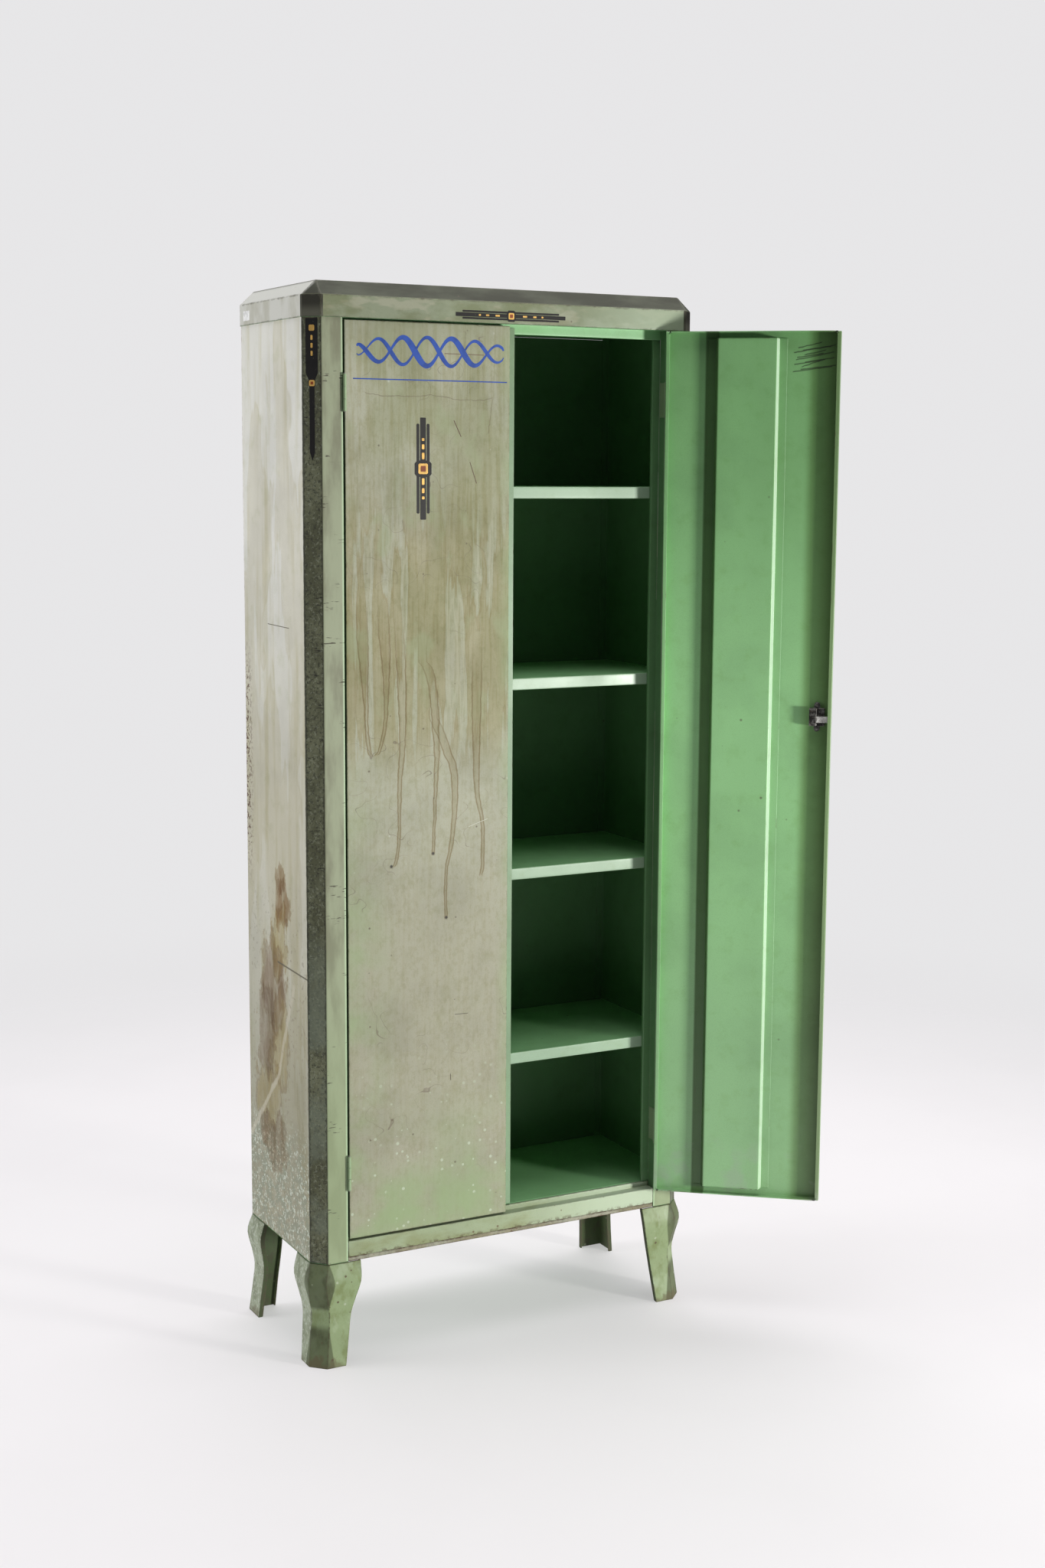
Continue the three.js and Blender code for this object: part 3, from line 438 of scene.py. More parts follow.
def weathered_side(name):
    """The outside of a side panel: pale worn side, dark corner band, sage stile beside the doors."""
    s = enamel(name, (0.75, 0.745, 0.68), 0.50)
    depth = s.less(s.y, FRONT)
    low_zone = s.rise(s.z, 0.95, 0.70)
    # Painted shade: the side grows darker toward the bottom.
    s.shade(s.rise(s.z, 1.50, 0.95), (0.76, 0.75, 0.69))
    s.shade(s.rise(s.z, 0.95, 0.35), (0.56, 0.56, 0.50))
    s.shade(s.times(s.rise(s.noise(26 * MM, 4.0, (1, 1, 12), 0.5, 31.0), 0.45, 0.68), 0.8), (0.84, 0.82, 0.70))
    s.cover(s.times(s.rise(s.noise(20 * MM, 3.0, (1, 1, 14), 0.5, 33.0), 0.56, 0.70), s.rise(s.z, 1.30, 1.60),
                    0.6), (0.66, 0.65, 0.57))
    watermarks(s, 0.10, (1, 1, 4.0), 0.50, (0.80, 0.76, 0.62), 0.8, 34.0)
    mottle = s.noise(16 * MM, 5.0, (1.6, 1.6, 1), 0.7, 42.0)
    s.cover(s.times(s.rise(s.z, 0.44, 0.34), s.rise(mottle, 0.44, 0.56), 0.85), (0.23, 0.25, 0.185), 0.6)
    fine_mottle = s.noise(7 * MM, 4.0, rough=0.7, shift=43.0)
    s.cover(s.times(s.rise(s.z, 0.46, 0.34), s.rise(fine_mottle, 0.54, 0.61), 0.75), (0.58, 0.63, 0.54), 0.5)
    side_stain(s)
    s.cover(s.times(low_zone, s.rise(s.noise(9 * MM, 4.0, shift=44.0), 0.60, 0.66), 0.5), (0.22, 0.19, 0.14), 0.6)
    rear = s.times(s.rise(s.y, BACK - 45 * MM, BACK - 8 * MM), s.inside(s.z, 0.88, 1.25, 0.06))
    s.cover(s.times(s.rise(s.noise(6 * MM, 3.0, shift=46.0), 0.52, 0.58), rear), (0.12, 0.075, 0.055), 0.7, -0.4)
    s.cover(s.times(s.edges(1.6 * MM), s.rise(depth, 0.05, 0.12)), (0.22, 0.15, 0.10), 0.6, -0.4)
    corner_band(s)
    stile(s)
    return s.done(bump=0.4, Specular_IOR_Level=MATT)


def weathered_back(name):
    """The outside of the back: plain green gone dull, with dust, long wall scrapes and rusty edges."""
    s = enamel(name, (0.20, 0.29, 0.155), 0.55)
    s.shade(s.rise(s.noise(0.12, 5.0, (1, 1, 2.5), 0.6, 121.0), 0.44, 0.62), (0.78, 0.76, 0.68))
    s.cover(s.times(s.rise(s.noise(30 * MM, 4.0, (1, 1, 9), 0.5, 122.0), 0.54, 0.68), 0.4), (0.33, 0.34, 0.26))
    scrape = s.rise(s.size(s.less(s.noise(0.16, 1.0, (3.0, 1, 0.35), 0.5, 123.0), 0.5)), 0.0040, 0.0012)
    sparse = s.rise(s.noise(0.25, 2.0, shift=124.0), 0.50, 0.58)
    s.cover(s.times(scrape, sparse, 0.7), (0.40, 0.42, 0.34), 0.6, -0.3)
    near_edge = s.most(s.rise(s.size(s.x), HALF_WIDTH - 0.07, HALF_WIDTH), s.rise(s.z, BODY_BOTTOM + 0.10, BODY_BOTTOM))
    rusty = s.rise(s.add(s.noise(13 * MM, 5.0, rough=0.7, shift=125.0), s.times(near_edge, 0.12)), 0.64, 0.68)
    s.cover(s.times(rusty, near_edge, 0.8), RUST, 0.75, -0.3)
    specks(s, 26 * MM, 2.2 * MM, 0.30, (0.10, 0.07, 0.04))
    chips(s, 1.2 * MM)
    return s.done(bump=0.4, Specular_IOR_Level=MATT)


MAUVE = (0.57, 0.46, 0.40)
BROWN = (0.56, 0.42, 0.30)
OCHRE = (0.82, 0.72, 0.48)

# Each patch of the run down the left side: its centre (y, z), half width, half height and tint, from the top.
STAIN = (
    ((-0.010, 0.872), 0.024, 0.030, BROWN),
    ((-0.011, 0.820), 0.032, 0.045, BROWN),
    ((0.002, 0.740), 0.036, 0.075, OCHRE),
    ((0.034, 0.665), 0.060, 0.088, MAUVE),
    ((0.004, 0.560), 0.046, 0.085, OCHRE),
    ((0.066, 0.575), 0.040, 0.080, MAUVE),
    ((0.060, 0.455), 0.066, 0.060, OCHRE),
    ((0.045, 0.372), 0.068, 0.046, BROWN),
)


def side_stain(s):
    """The rusty run down the left side: dried patches with darker outlines, and a pale streak across them."""
    left = s.rise(s.x, 0.1, -0.1)
    across = s.add(s.y, s.times(s.less(s.noise(32 * MM, 5.0, (1, 1, 2.2), 0.62, 36.0), 0.5), 0.11))
    up = s.add(s.z, s.times(s.less(s.noise(45 * MM, 5.0, (1, 1, 2.2), 0.62, 37.0), 0.5), 0.16))
    cloudy = s.rise(s.noise(24 * MM, 5.0, (1, 1, 3), 0.65, 38.0, 0.5), 0.34, 0.62)
    for (y, z), half_width, half_height, tint in STAIN:
        where = s.node("ShaderNodeCombineXYZ", {
            0: s.times(s.less(across, y), 1 / half_width), 1: s.times(s.less(up, z), 1 / half_height)})
        away = s.node("ShaderNodeVectorMath", {0: where}, 1, operation="LENGTH")
        s.shade(s.times(left, s.rise(away, 1.12, 0.80), s.add(0.45, s.times(cloudy, 0.5))), tint)
        s.shade(s.times(left, s.rise(s.size(s.less(away, 1.0)), 0.10, 0.02), 0.55), (0.62, 0.50, 0.36))
    for start, end in (((-0.068, 0.685), (0.010, 0.500)), ((0.010, 0.500), (0.155, 0.352))):
        streak = s.stroke(start, end, 7 * MM, s.add(s.times(s.y, 0.8), s.times(across, 0.2)))
        s.cover(s.times(streak, left, 0.55), (0.50, 0.47, 0.37))
    for start, end, half in (((0.040, 1.320), (-0.062, 1.3185), 1.0 * MM), ((0.010, 0.712), (-0.132, 0.708), 2.2 * MM)):
        s.cover(s.times(s.stroke(start, end, half, s.y), left, 0.9), (0.11, 0.10, 0.07), 0.6, -0.4)


def corner_band(s):
    """The chamfered corner is painted dark olive, darker at its two folds, and badly scratched."""
    corner = s.add(s.less(s.y, FRONT), s.less(HALF_WIDTH, s.size(s.x)))
    ragged = s.times(s.less(s.noise(12 * MM, 4.0, shift=51.0), 0.5), 4 * MM)
    band = s.rise(s.add(corner, ragged), CHAMFER + 2.5 * MM, CHAMFER + 1.0 * MM)
    olive = s.mix(s.rise(s.noise(40 * MM, 4.0, (1, 1, 2), shift=52.0), 0.38, 0.66), (0.080, 0.084, 0.046),
                  (0.140, 0.148, 0.088))
    olive = s.mix(s.rise(s.noise(5 * MM, 5.0, rough=0.75, shift=57.0), 0.50, 0.60), olive, (0.045, 0.047, 0.030))
    olive = s.mix(s.times(s.rise(s.noise(6 * MM, 5.0, rough=0.75, shift=58.0), 0.54, 0.62), 0.5), olive,
                  (0.26, 0.28, 0.20))
    olive = s.mix(s.times(s.rise(s.z, 0.95, 0.60), s.rise(s.noise(0.09, 4.0, shift=53.0), 0.42, 0.6), 0.6), olive,
                  (0.150, 0.175, 0.130))
    s.cover(band, olive, 0.62)
    s.cover(s.times(band, s.edges(3.0 * MM), 0.65), (0.022, 0.022, 0.014), 0.55, -0.3)
    nicks = s.noise(8 * MM, 2.0, (2.2, 2.2, 0.30), 0.5, 55.0)
    sparse = s.rise(s.noise(0.05, 1.0, (1, 1, 0.8), shift=56.0), 0.60, 0.66)
    s.cover(s.times(band, s.rise(nicks, 0.62, 0.66), sparse, 0.9), (0.022, 0.02, 0.016), 0.5, -0.5)


def stile(s):
    """The stile beside the doors keeps more of its green, with a pale line painted along its inner edge as a highlight.
    """
    across = s.size(s.x)
    on_front = s.rise(s.y, FRONT + 1.0 * MM, FRONT + 0.4 * MM)
    face = s.times(on_front, s.rise(across, HALF_WIDTH - CHAMFER + 1 * MM, HALF_WIDTH - CHAMFER - 1 * MM))
    tone = s.mix(s.rise(s.noise(30 * MM, 4.0, (1, 1, 4), shift=61.0), 0.38, 0.68), (0.29, 0.325, 0.215),
                 (0.19, 0.20, 0.13))
    tone = s.mix(s.times(s.rise(s.z, 0.9, 0.3), 0.6), tone, (0.27, 0.35, 0.19))
    s.cover(face, tone, 0.42)
    # Painted highlight: a pale line along the stile's inner edge.
    line = s.times(face, s.rise(across, STILE_INNER + 5 * MM, STILE_INNER + 2 * MM))
    s.cover(s.times(line, 0.75), HIGHLIGHT_MINT, 0.35)
    nicks = s.noise(7 * MM, 2.0, (2.4, 2.4, 0.4), 0.5, 63.0)
    sparse = s.rise(s.noise(0.07, 1.0, (1, 1, 0.6), shift=64.0), 0.58, 0.64)
    s.cover(s.times(face, s.rise(nicks, 0.62, 0.66), sparse, 0.85), (0.05, 0.042, 0.03), 0.6, -0.5)


def weathered_cap(name):
    """The cap: mottled sage face, dark grimy bevels and corners, pale ends."""
    s = enamel(name, (0.25, 0.285, 0.19), 0.42)
    patches = s.noise(38 * MM, 4.0, (2, 1, 0.7), 0.6, 70.0)
    s.cover(s.times(s.rise(patches, 0.50, 0.60), 0.6), (0.33, 0.33, 0.245))
    s.shade(s.rise(s.noise(0.05, 4.0, (2, 1, 1), shift=71.0), 0.44, 0.60), (0.74, 0.74, 0.62))
    s.cover(s.times(s.rise(s.x, 0.05, 0.30), 0.6), (0.37, 0.45, 0.33))
    skirt_top = CAP_HIGH.z - 25 * MM
    bevel = s.rise(s.z, skirt_top - 0.5 * MM, skirt_top + 1.0 * MM)
    grime = s.rise(s.noise(50 * MM, 4.0, (2.5, 1, 1), shift=72.0), 0.30, 0.60)
    s.cover(bevel, s.mix(grime, (0.062, 0.068, 0.047), (0.034, 0.036, 0.024)), 0.8)
    end = s.rise(s.size(s.x), HALF_WIDTH - 26.5 * MM, HALF_WIDTH - 20 * MM)
    behind = s.rise(s.y, FRONT + 20 * MM, FRONT + 27 * MM)
    pale = s.mix(s.rise(s.noise(40 * MM, 4.0, (1, 1, 2), shift=74.0), 0.40, 0.65), (0.62, 0.62, 0.565),
                 (0.50, 0.495, 0.42))
    s.cover(s.times(end, behind), s.mix(bevel, pale, (0.43, 0.435, 0.40)), 0.42)
    corner = s.add(s.less(s.y, FRONT), s.less(HALF_WIDTH, s.size(s.x)))
    skirt = s.rise(s.z, skirt_top + 1 * MM, skirt_top - 1 * MM)
    soot = s.mix(s.rise(s.z, CAP_LOW.z + 24 * MM, CAP_LOW.z + 6 * MM), (0.030, 0.029, 0.020), (0.095, 0.095, 0.070))
    s.cover(s.times(skirt, s.rise(corner, CHAMFER + 2.0 * MM, CHAMFER + 0.5 * MM)), soot, 0.6)
    s.cover(s.times(s.edges(2.0 * MM), 0.35), (0.10, 0.10, 0.07), 0.5)
    chips(s, 0.7 * MM, (0.05, 0.042, 0.028), 0.6)
    specks(s, 24 * MM, 2.0 * MM, 0.35, (0.08, 0.06, 0.04))
    return s.done(bump=0.35, Specular_IOR_Level=MATT)


def rail_paint(name):
    """The rail under the doors: light green, grimy, with rust along its foot."""
    s = enamel(name, (0.30, 0.36, 0.225), 0.42)
    s.cover(s.times(s.rise(s.x, -0.05, 0.28), 0.7), (0.48, 0.58, 0.43))
    s.shade(s.rise(s.noise(45 * MM, 4.0, (3, 1, 1), shift=81.0), 0.46, 0.66), (0.80, 0.76, 0.62))
    foot = s.rise(s.z, RAIL_LOW.z + 9 * MM, RAIL_LOW.z + 1 * MM)
    s.cover(s.times(foot, s.rise(s.noise(10 * MM, 4.0, shift=82.0), 0.46, 0.60), 0.6), RUST, 0.7, -0.3)
    specks(s, 17 * MM, 2.2 * MM, 0.4, (0.13, 0.085, 0.045))
    chips(s, 0.7 * MM, amount=0.6)
    return s.done(bump=0.4, Specular_IOR_Level=MATT)


def stretcher_primer(name):
    s = enamel(name, (0.30, 0.30, 0.22), 0.6)
    s.shade(s.rise(s.noise(30 * MM, 4.0, (3, 1, 1), shift=83.0), 0.45, 0.62), (0.70, 0.64, 0.50))
    specks(s, 12 * MM, 2.2 * MM, 0.5, (0.15, 0.09, 0.045))
    chips(s, 1.2 * MM)
    return s.done(bump=0.5)


def leg_paint(name):
    """The legs: mottled green, dark on the corner plate, rusty at the feet."""
    s = enamel(name, (0.245, 0.315, 0.165), 0.46)
    mottle = s.noise(26 * MM, 5.0, (1, 1, 1.6), 0.6, 91.0)
    s.shade(s.rise(mottle, 0.46, 0.66), (0.76, 0.74, 0.60))
    s.cover(s.times(s.rise(s.noise(34 * MM, 4.0, (1, 1, 2), shift=92.0), 0.52, 0.62), 0.4), (0.33, 0.40, 0.27))
    side = s.times(s.rise(s.size(s.x), HALF_WIDTH - 5 * MM, HALF_WIDTH - 2 * MM), s.rise(
        s.less(s.y, FRONT), CHAMFER - 1 * MM, CHAMFER + 2 * MM))
    s.cover(s.times(side, 0.8), s.mix(s.rise(mottle, 0.42, 0.6), (0.27, 0.30, 0.22), (0.17, 0.19, 0.13)), 0.5)
    lichen = s.rise(s.noise(7 * MM, 4.0, rough=0.7, shift=93.0), 0.50, 0.60)
    s.cover(s.times(side, lichen, 0.55), (0.46, 0.49, 0.41), 0.5)
    corner = s.add(s.less(s.y, FRONT), s.less(HALF_WIDTH, s.size(s.x)))
    plate = s.rise(s.size(s.less(corner, CHAMFER * 0.62)), CHAMFER * 0.90, CHAMFER * 0.70)
    plate = s.times(plate, s.rise(s.y, 0.0, -0.02))
    s.cover(s.times(plate, s.rise(corner, CHAMFER + 3.5 * MM, CHAMFER + 0.5 * MM), 0.85), s.mix(
        s.rise(mottle, 0.44, 0.62), (0.080, 0.098, 0.046), (0.050, 0.058, 0.028)), 0.6)
    s.cover(s.times(s.rise(s.z, LEG_TOP - 3 * MM, LEG_TOP), 0.8), DIRT, 0.6)
    foot = s.rise(s.add(s.z, s.times(s.less(mottle, 0.5), 0.08)), 12 * MM, 2 * MM)
    s.cover(s.times(foot, 0.6), (0.10, 0.075, 0.04), 0.75, -0.3)
    specks(s, 13 * MM, 2.4 * MM, 0.40, (0.09, 0.06, 0.035))
    specks(s, 19 * MM, 2.6 * MM, 0.35, (0.42, 0.46, 0.36), 0.6)
    chips(s, 0.9 * MM, (0.07, 0.06, 0.035), 0.6)
    return s.done(bump=0.5, Specular_IOR_Level=MATT)


def leg_inside_paint(name):
    """The hollow inside of the legs: the same green painted much darker as shade in the hollow, with patches of dirt.
    """
    s = enamel(name, (0.058, 0.082, 0.034), 0.6)
    s.cover(s.times(s.rise(s.noise(22 * MM, 4.0, shift=95.0), 0.46, 0.62), 0.6), DIRT, 0.7)
    specks(s, 13 * MM, 2.4 * MM, 0.40, (0.22, 0.25, 0.17), 0.6)
    chips(s, 0.9 * MM, (0.07, 0.06, 0.035), 0.6)
    return s.done(bump=0.5, Specular_IOR_Level=MATT)


def worn_metal(name, color, rough, metallic, grime, swinging=False):
    """Plated or blackened steel with grime, brushed marks and dulled edges."""
    s = Surface(name, color, rough, swinging)
    cloud = s.noise(6 * MM, 4.0, shift=101.0)
    s.cover(s.times(s.rise(cloud, 0.50, 0.68), 0.7), grime, rough + 0.25)
    fine = s.noise(0.5 * MM, 2.0, (1, 1, 5), 0.5, 102.0)
    s.rough = s.add(s.rough, s.times(s.less(fine, 0.5), 0.2))
    s.height = s.times(fine, 0.2)
    s.cover(s.times(s.edges(0.5 * MM), 0.6), (0.32, 0.31, 0.29), rough + 0.05)
    return s.done(metallic, 0.3, 0.2 * MM)


def ornament_paint(name, color, rough, worn, metallic=0.0, swinging=False):
    """Transfer or brush paint, with gaps worn through to the enamel below."""
    s = Surface(name, color, rough, swinging)
    s.shade(s.rise(s.noise(14 * MM, 3.0, shift=111.0), 0.42, 0.66), 0.72)
    gaps = s.rise(s.noise(4.5 * MM, 4.0, rough=0.7, shift=112.0), worn, worn + 0.05)
    s.cover(s.times(gaps, 0.7), (0.30, 0.30, 0.23), 0.5, -0.3)
    s.height = s.add(s.height, s.times(s.noise(1.5 * MM, 2.0, shift=113.0), 0.3))
    return s.done(metallic, 0.3, 0.1 * MM, Specular_IOR_Level=MATT)


# ---------------------------------------------------------------- folded sheets from the CAD nodes

EDGE_REACH = 30 * MM
CELL = 26 * MM
SUPPORT = 4 * MM
THIN = 3 * MM
FOLD_ANGLE = radians(22)
SHARP_ANGLE = radians(38)
FOLD = 1.5 * MM
INNER_FOLD = 0.5 * MM
CUT_EDGE = 0.3 * MM
WAVE_LENGTH = 0.28
WAVE_HEIGHT = 0.55 * MM
WAVE_SEED = 7
SMALLEST_PANEL = 0.15


def breadth(face, edge):
    """How wide a face is, measured away from one of its edges."""
    along = (edge.verts[1].co - edge.verts[0].co).normalized()
    across = face.normal.cross(along)
    reach = [across.dot(vertex.co) for vertex in face.verts]
    return max(reach) - min(reach)


def edge_width(edge, fold):
    """The bevel that an edge gets: wide on a fold, narrow on a cut edge, none where the sheet is smooth."""
    if len(edge.link_faces) != 2 or edge.calc_face_angle(0) < FOLD_ANGLE:
        return 0.0
    broad = min(breadth(face, edge) for face in edge.link_faces) > THIN
    if edge.is_convex:
        return fold if broad else CUT_EDGE
    return INNER_FOLD if broad else 0.0


def corner_places(mesh):
    """The coordinates of a mesh's corners along each axis."""
    return [sorted({round(vertex.co[axis], 5) for vertex in mesh.verts}) for axis in range(3)]


def cut_places(places):
    """Where to cut between corners: close beside each corner, and about a cell apart in between."""
    cuts = []
    for low, high in zip(places, places[1:]):
        if high - low < SUPPORT:
            continue
        inset = min(SUPPORT, (high - low) / 2)
        room = high - low - 2 * inset
        count = int(room / CELL) + 1
        cuts.extend(low + inset + room * i / count for i in range(count + 1))
    return cuts


def even_cuts(low, high):
    """Where to cut every cell from low to high."""
    return [low + CELL * i for i in range(1, int((high - low) / CELL) + 1)]


def slice_mesh(mesh, cuts):
    """Cuts a mesh at the given places along each axis, so that it can bend smoothly."""
    for axis, places in enumerate(cuts):
        for place in places:
            point = Vector((0, 0, 0))
            normal = Vector((0, 0, 0))
            point[axis] = place
            normal[axis] = 1.0
            geometry = [*mesh.verts, *mesh.edges, *mesh.faces]
            bmesh.ops.bisect_plane(mesh, geom=geometry, plane_co=point, plane_no=normal, dist=1e-6)


def waved(point):
    """A point of a thin sheet, moved by the slight waves that all of the sheets share."""
    return point + noise.noise_vector(point / WAVE_LENGTH) * WAVE_HEIGHT


def edge_tree(mesh, layer):
    """A search tree of points about 4 mm apart along every bevelled outer edge."""
    points = []
    for edge in mesh.edges:
        if edge[layer] > 0 and edge.is_convex:
            a, b = (vertex.co for vertex in edge.verts)
            steps = max(1, int((b - a).length / (4 * MM)))
            points.extend(a.lerp(b, i / steps) for i in range(steps + 1))
    tree = kdtree.KDTree(len(points))
    for i, point in enumerate(points):
        tree.insert(point, i)
    tree.balance()
    return tree


def bevelled(mesh, width):
    """The mesh with its weighted edges rounded, as new mesh data."""
    data = bpy.data.meshes.new("bevelled")
    mesh.to_mesh(data)
    holder = bpy.data.objects.new("bevelled", data)
    bpy.context.scene.collection.objects.link(holder)
    bevel = holder.modifiers.new("folds", "BEVEL")
    bevel.width = width
    bevel.limit_method = "WEIGHT"
    bevel.segments = 3
    bevel.use_clamp_overlap = False
    bpy.context.view_layer.update()
    result = bpy.data.meshes.new_from_object(holder.evaluated_get(bpy.context.evaluated_depsgraph_get()))
    bpy.data.objects.remove(holder)
    return result


def formed(node, materials, zone=None, fold=FOLD):
    """Replaces a CAD node by a finer copy with rounded folds, slight waves and worn-edge data.
    zone(centre, normal) picks a face's material from the list, in the shut frame."""
    body = BODY_OF[node]
    shut = to_shut(body)
    mesh = bmesh.new()
    mesh.from_mesh(frame["nodes"][node].data)
    mesh.transform(shut)
    bmesh.ops.remove_doubles(mesh, verts=mesh.verts, dist=0.01 * MM)
    bmesh.ops.dissolve_limit(mesh, angle_limit=radians(0.5), verts=mesh.verts, edges=mesh.edges)
    layer = mesh.edges.layers.float.new("bevel_weight_edge")
    for edge in mesh.edges:
        edge[layer] = edge_width(edge, fold) / fold
    low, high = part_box(node)
    panel = (high - low).length > SMALLEST_PANEL
    cuts = [cut_places(places) for places in corner_places(mesh)]
    tree = edge_tree(mesh, layer)
    data = bevelled(mesh, fold)
    mesh.clear()
    mesh.from_mesh(data)
    if panel:
        slice_mesh(mesh, cuts)
    mesh.to_mesh(data)
    mesh.free()

    wear = data.attributes.new("edge", "FLOAT", "POINT")
    for vertex in data.vertices:
        wear.data[vertex.index].value = max(0.0, 1 - tree.find(vertex.co)[2] / EDGE_REACH)
        if panel and "leg" not in node:
            vertex.co = waved(vertex.co)
    for material in materials:
        data.materials.append(material)
    for face in data.polygons:
        face.use_smooth = True
        face.material_index = zone(face.center, face.normal) if zone else 0
    data.set_sharp_from_angle(angle=SHARP_ANGLE)
    data.transform(shut.inverted())
    keep_inside(data)

    piece = bpy.data.objects.new(node + "_formed", data)
    bpy.context.scene.collection.objects.link(piece)
    even = piece.modifiers.new("even shading", "WEIGHTED_NORMAL")
    even.keep_sharp = True
    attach(piece, body)
    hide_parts(node)
    return piece


def keep_inside(data):
    """Holds every vertex inside the CAD model's box."""
    low, high = (Vector(corner) for corner in cad_box)
    for vertex in data.vertices:
        for axis in range(3):
            vertex.co[axis] = min(max(vertex.co[axis], low[axis]), high[axis])


# ---------------------------------------------------------------- flat ornaments

FILM = 0.12 * MM


class Plate:
    """Thin closed shapes on a flat face: across and up are measured from an origin on that face."""

    def __init__(self, origin, across, outward):
        self.origin = Vector(origin)
        self.across = Vector(across)
        self.outward = Vector(outward)
        self.mesh = bmesh.new()

    def point(self, a, z, lift):
        return self.origin + self.across * a + Vector((0, 0, z)) + self.outward * lift

    def polygon(self, outline, layer=1):
        """A closed prism standing on the face, layer films high."""
        foot = [self.mesh.verts.new(self.point(a, z, 0.02 * MM)) for a, z in outline]
        head = [self.mesh.verts.new(self.point(a, z, layer * FILM)) for a, z in outline]
        self.mesh.faces.new(head)
        self.mesh.faces.new(foot[::-1])
        for i in range(len(outline)):
            j = (i + 1) % len(outline)
            self.mesh.faces.new((foot[i], foot[j], head[j], head[i]))

    def bar(self, a, z, half_a, half_z, layer=1, cut=0.0):
        """A rectangle about (a, z) with its corners cut off."""
        outline = []
        for sign_a, sign_z in ((1, 1), (-1, 1), (-1, -1), (1, -1)):
            ends = [(a + sign_a * half_a, z + sign_z * (half_z - cut)),
                    (a + sign_a * (half_a - cut), z + sign_z * half_z)]
            ends = ends if sign_a * sign_z > 0 else ends[::-1]
            outline.extend(ends if cut else [(a + sign_a * half_a, z + sign_z * half_z)])
        self.polygon(outline, layer)

    def ribbon(self, line, half_widths, layer=1):
        """A brush stroke along a line of (a, z) points, with its own half width at each point."""
        rims = ([], [])
        for i, (a, z) in enumerate(line):
            ahead = Vector(line[min(i + 1, len(line) - 1)])
            behind = Vector(line[max(i - 1, 0)])
            run = (ahead - behind).normalized()
            for side, rim in zip((1, -1), rims):
                offset = Vector((-run.y, run.x)) * side * half_widths[i]
                rim.append((a + offset.x, z + offset.y))
        left, right = rims
        rows = []
        for (la, lz), (ra, rz) in zip(left, right):
            rows.append([self.mesh.verts.new(self.point(*place)) for place in (
                (la, lz, layer * FILM), (ra, rz, layer * FILM), (ra, rz, 0.02 * MM), (la, lz, 0.02 * MM))])
        for row, after in zip(rows, rows[1:]):
            for i in range(4):
                j = (i + 1) % 4
                self.mesh.faces.new((row[i], row[j], after[j], after[i]))
        self.mesh.faces.new(rows[0][::-1])
        self.mesh.faces.new(rows[-1])

    def piece(self, name, body, slot, material):
        bmesh.ops.recalc_face_normals(self.mesh, faces=self.mesh.faces)
        slice_mesh(self.mesh, [even_cuts(places[0], places[-1]) for places in corner_places(self.mesh)])
        for vertex in self.mesh.verts:
            vertex.co = waved(vertex.co)
        self.mesh.transform(to_shut(body).inverted())
        data = bpy.data.meshes.new(name)
        self.mesh.to_mesh(data)
        self.mesh.free()
        data.materials.append(material)
        made = bpy.data.objects.new(name, data)
        bpy.context.scene.collection.objects.link(made)
        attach(made, body)
        return made


def bar_ornament(name, face, body, slot, paints):
    """A generic stepped bar with a square boss in its middle and three short tabs on each side of it.
    face is (origin, turned, length, girth): turned lays the bar along the face instead of up it."""
    origin, turned, length, girth = face
    layers = dict(zip(("ground", "gilt", "boss"), paints))
    for part, paint in layers.items():
        plate = Plate(origin, (1, 0, 0), (0, -1, 0))

        def bar(along, off, half_along, half_off, layer, cut=0.0):
            off, half_off, cut = off * girth, half_off * girth, cut * girth
            if turned:
                plate.bar(along, off, half_along, half_off, layer, cut)
            else:
                plate.bar(off, along, half_off, half_along, layer, cut)

        if part == "ground":
            bar(0, 0, length / 2, 5.5 * MM, 2, 1 * MM)
            for side in (-1, 1):
                bar(0, side * 9.7 * MM, length * 0.44, 2.8 * MM, 1, 1.5 * MM)
            bar(0, 0, 14 * MM * girth, 16 * MM, 3, 5 * MM)
        elif part == "gilt":
            bar(0, 0, 9 * MM * girth, 9 * MM, 4, 2 * MM)
            for side in (-1, 1):
                for place, half in ((0.125, 0.032), (0.215, 0.024), (0.285, 0.014)):
                    bar(side * length * place, 0, length * half * girth, 2.4 * MM, 3, 0.8 * MM)
        else:
            bar(0, 0, 5 * MM * girth, 5 * MM, 5, 1 * MM)
        plate.piece(f"{name}_{part}", body, slot, paint)


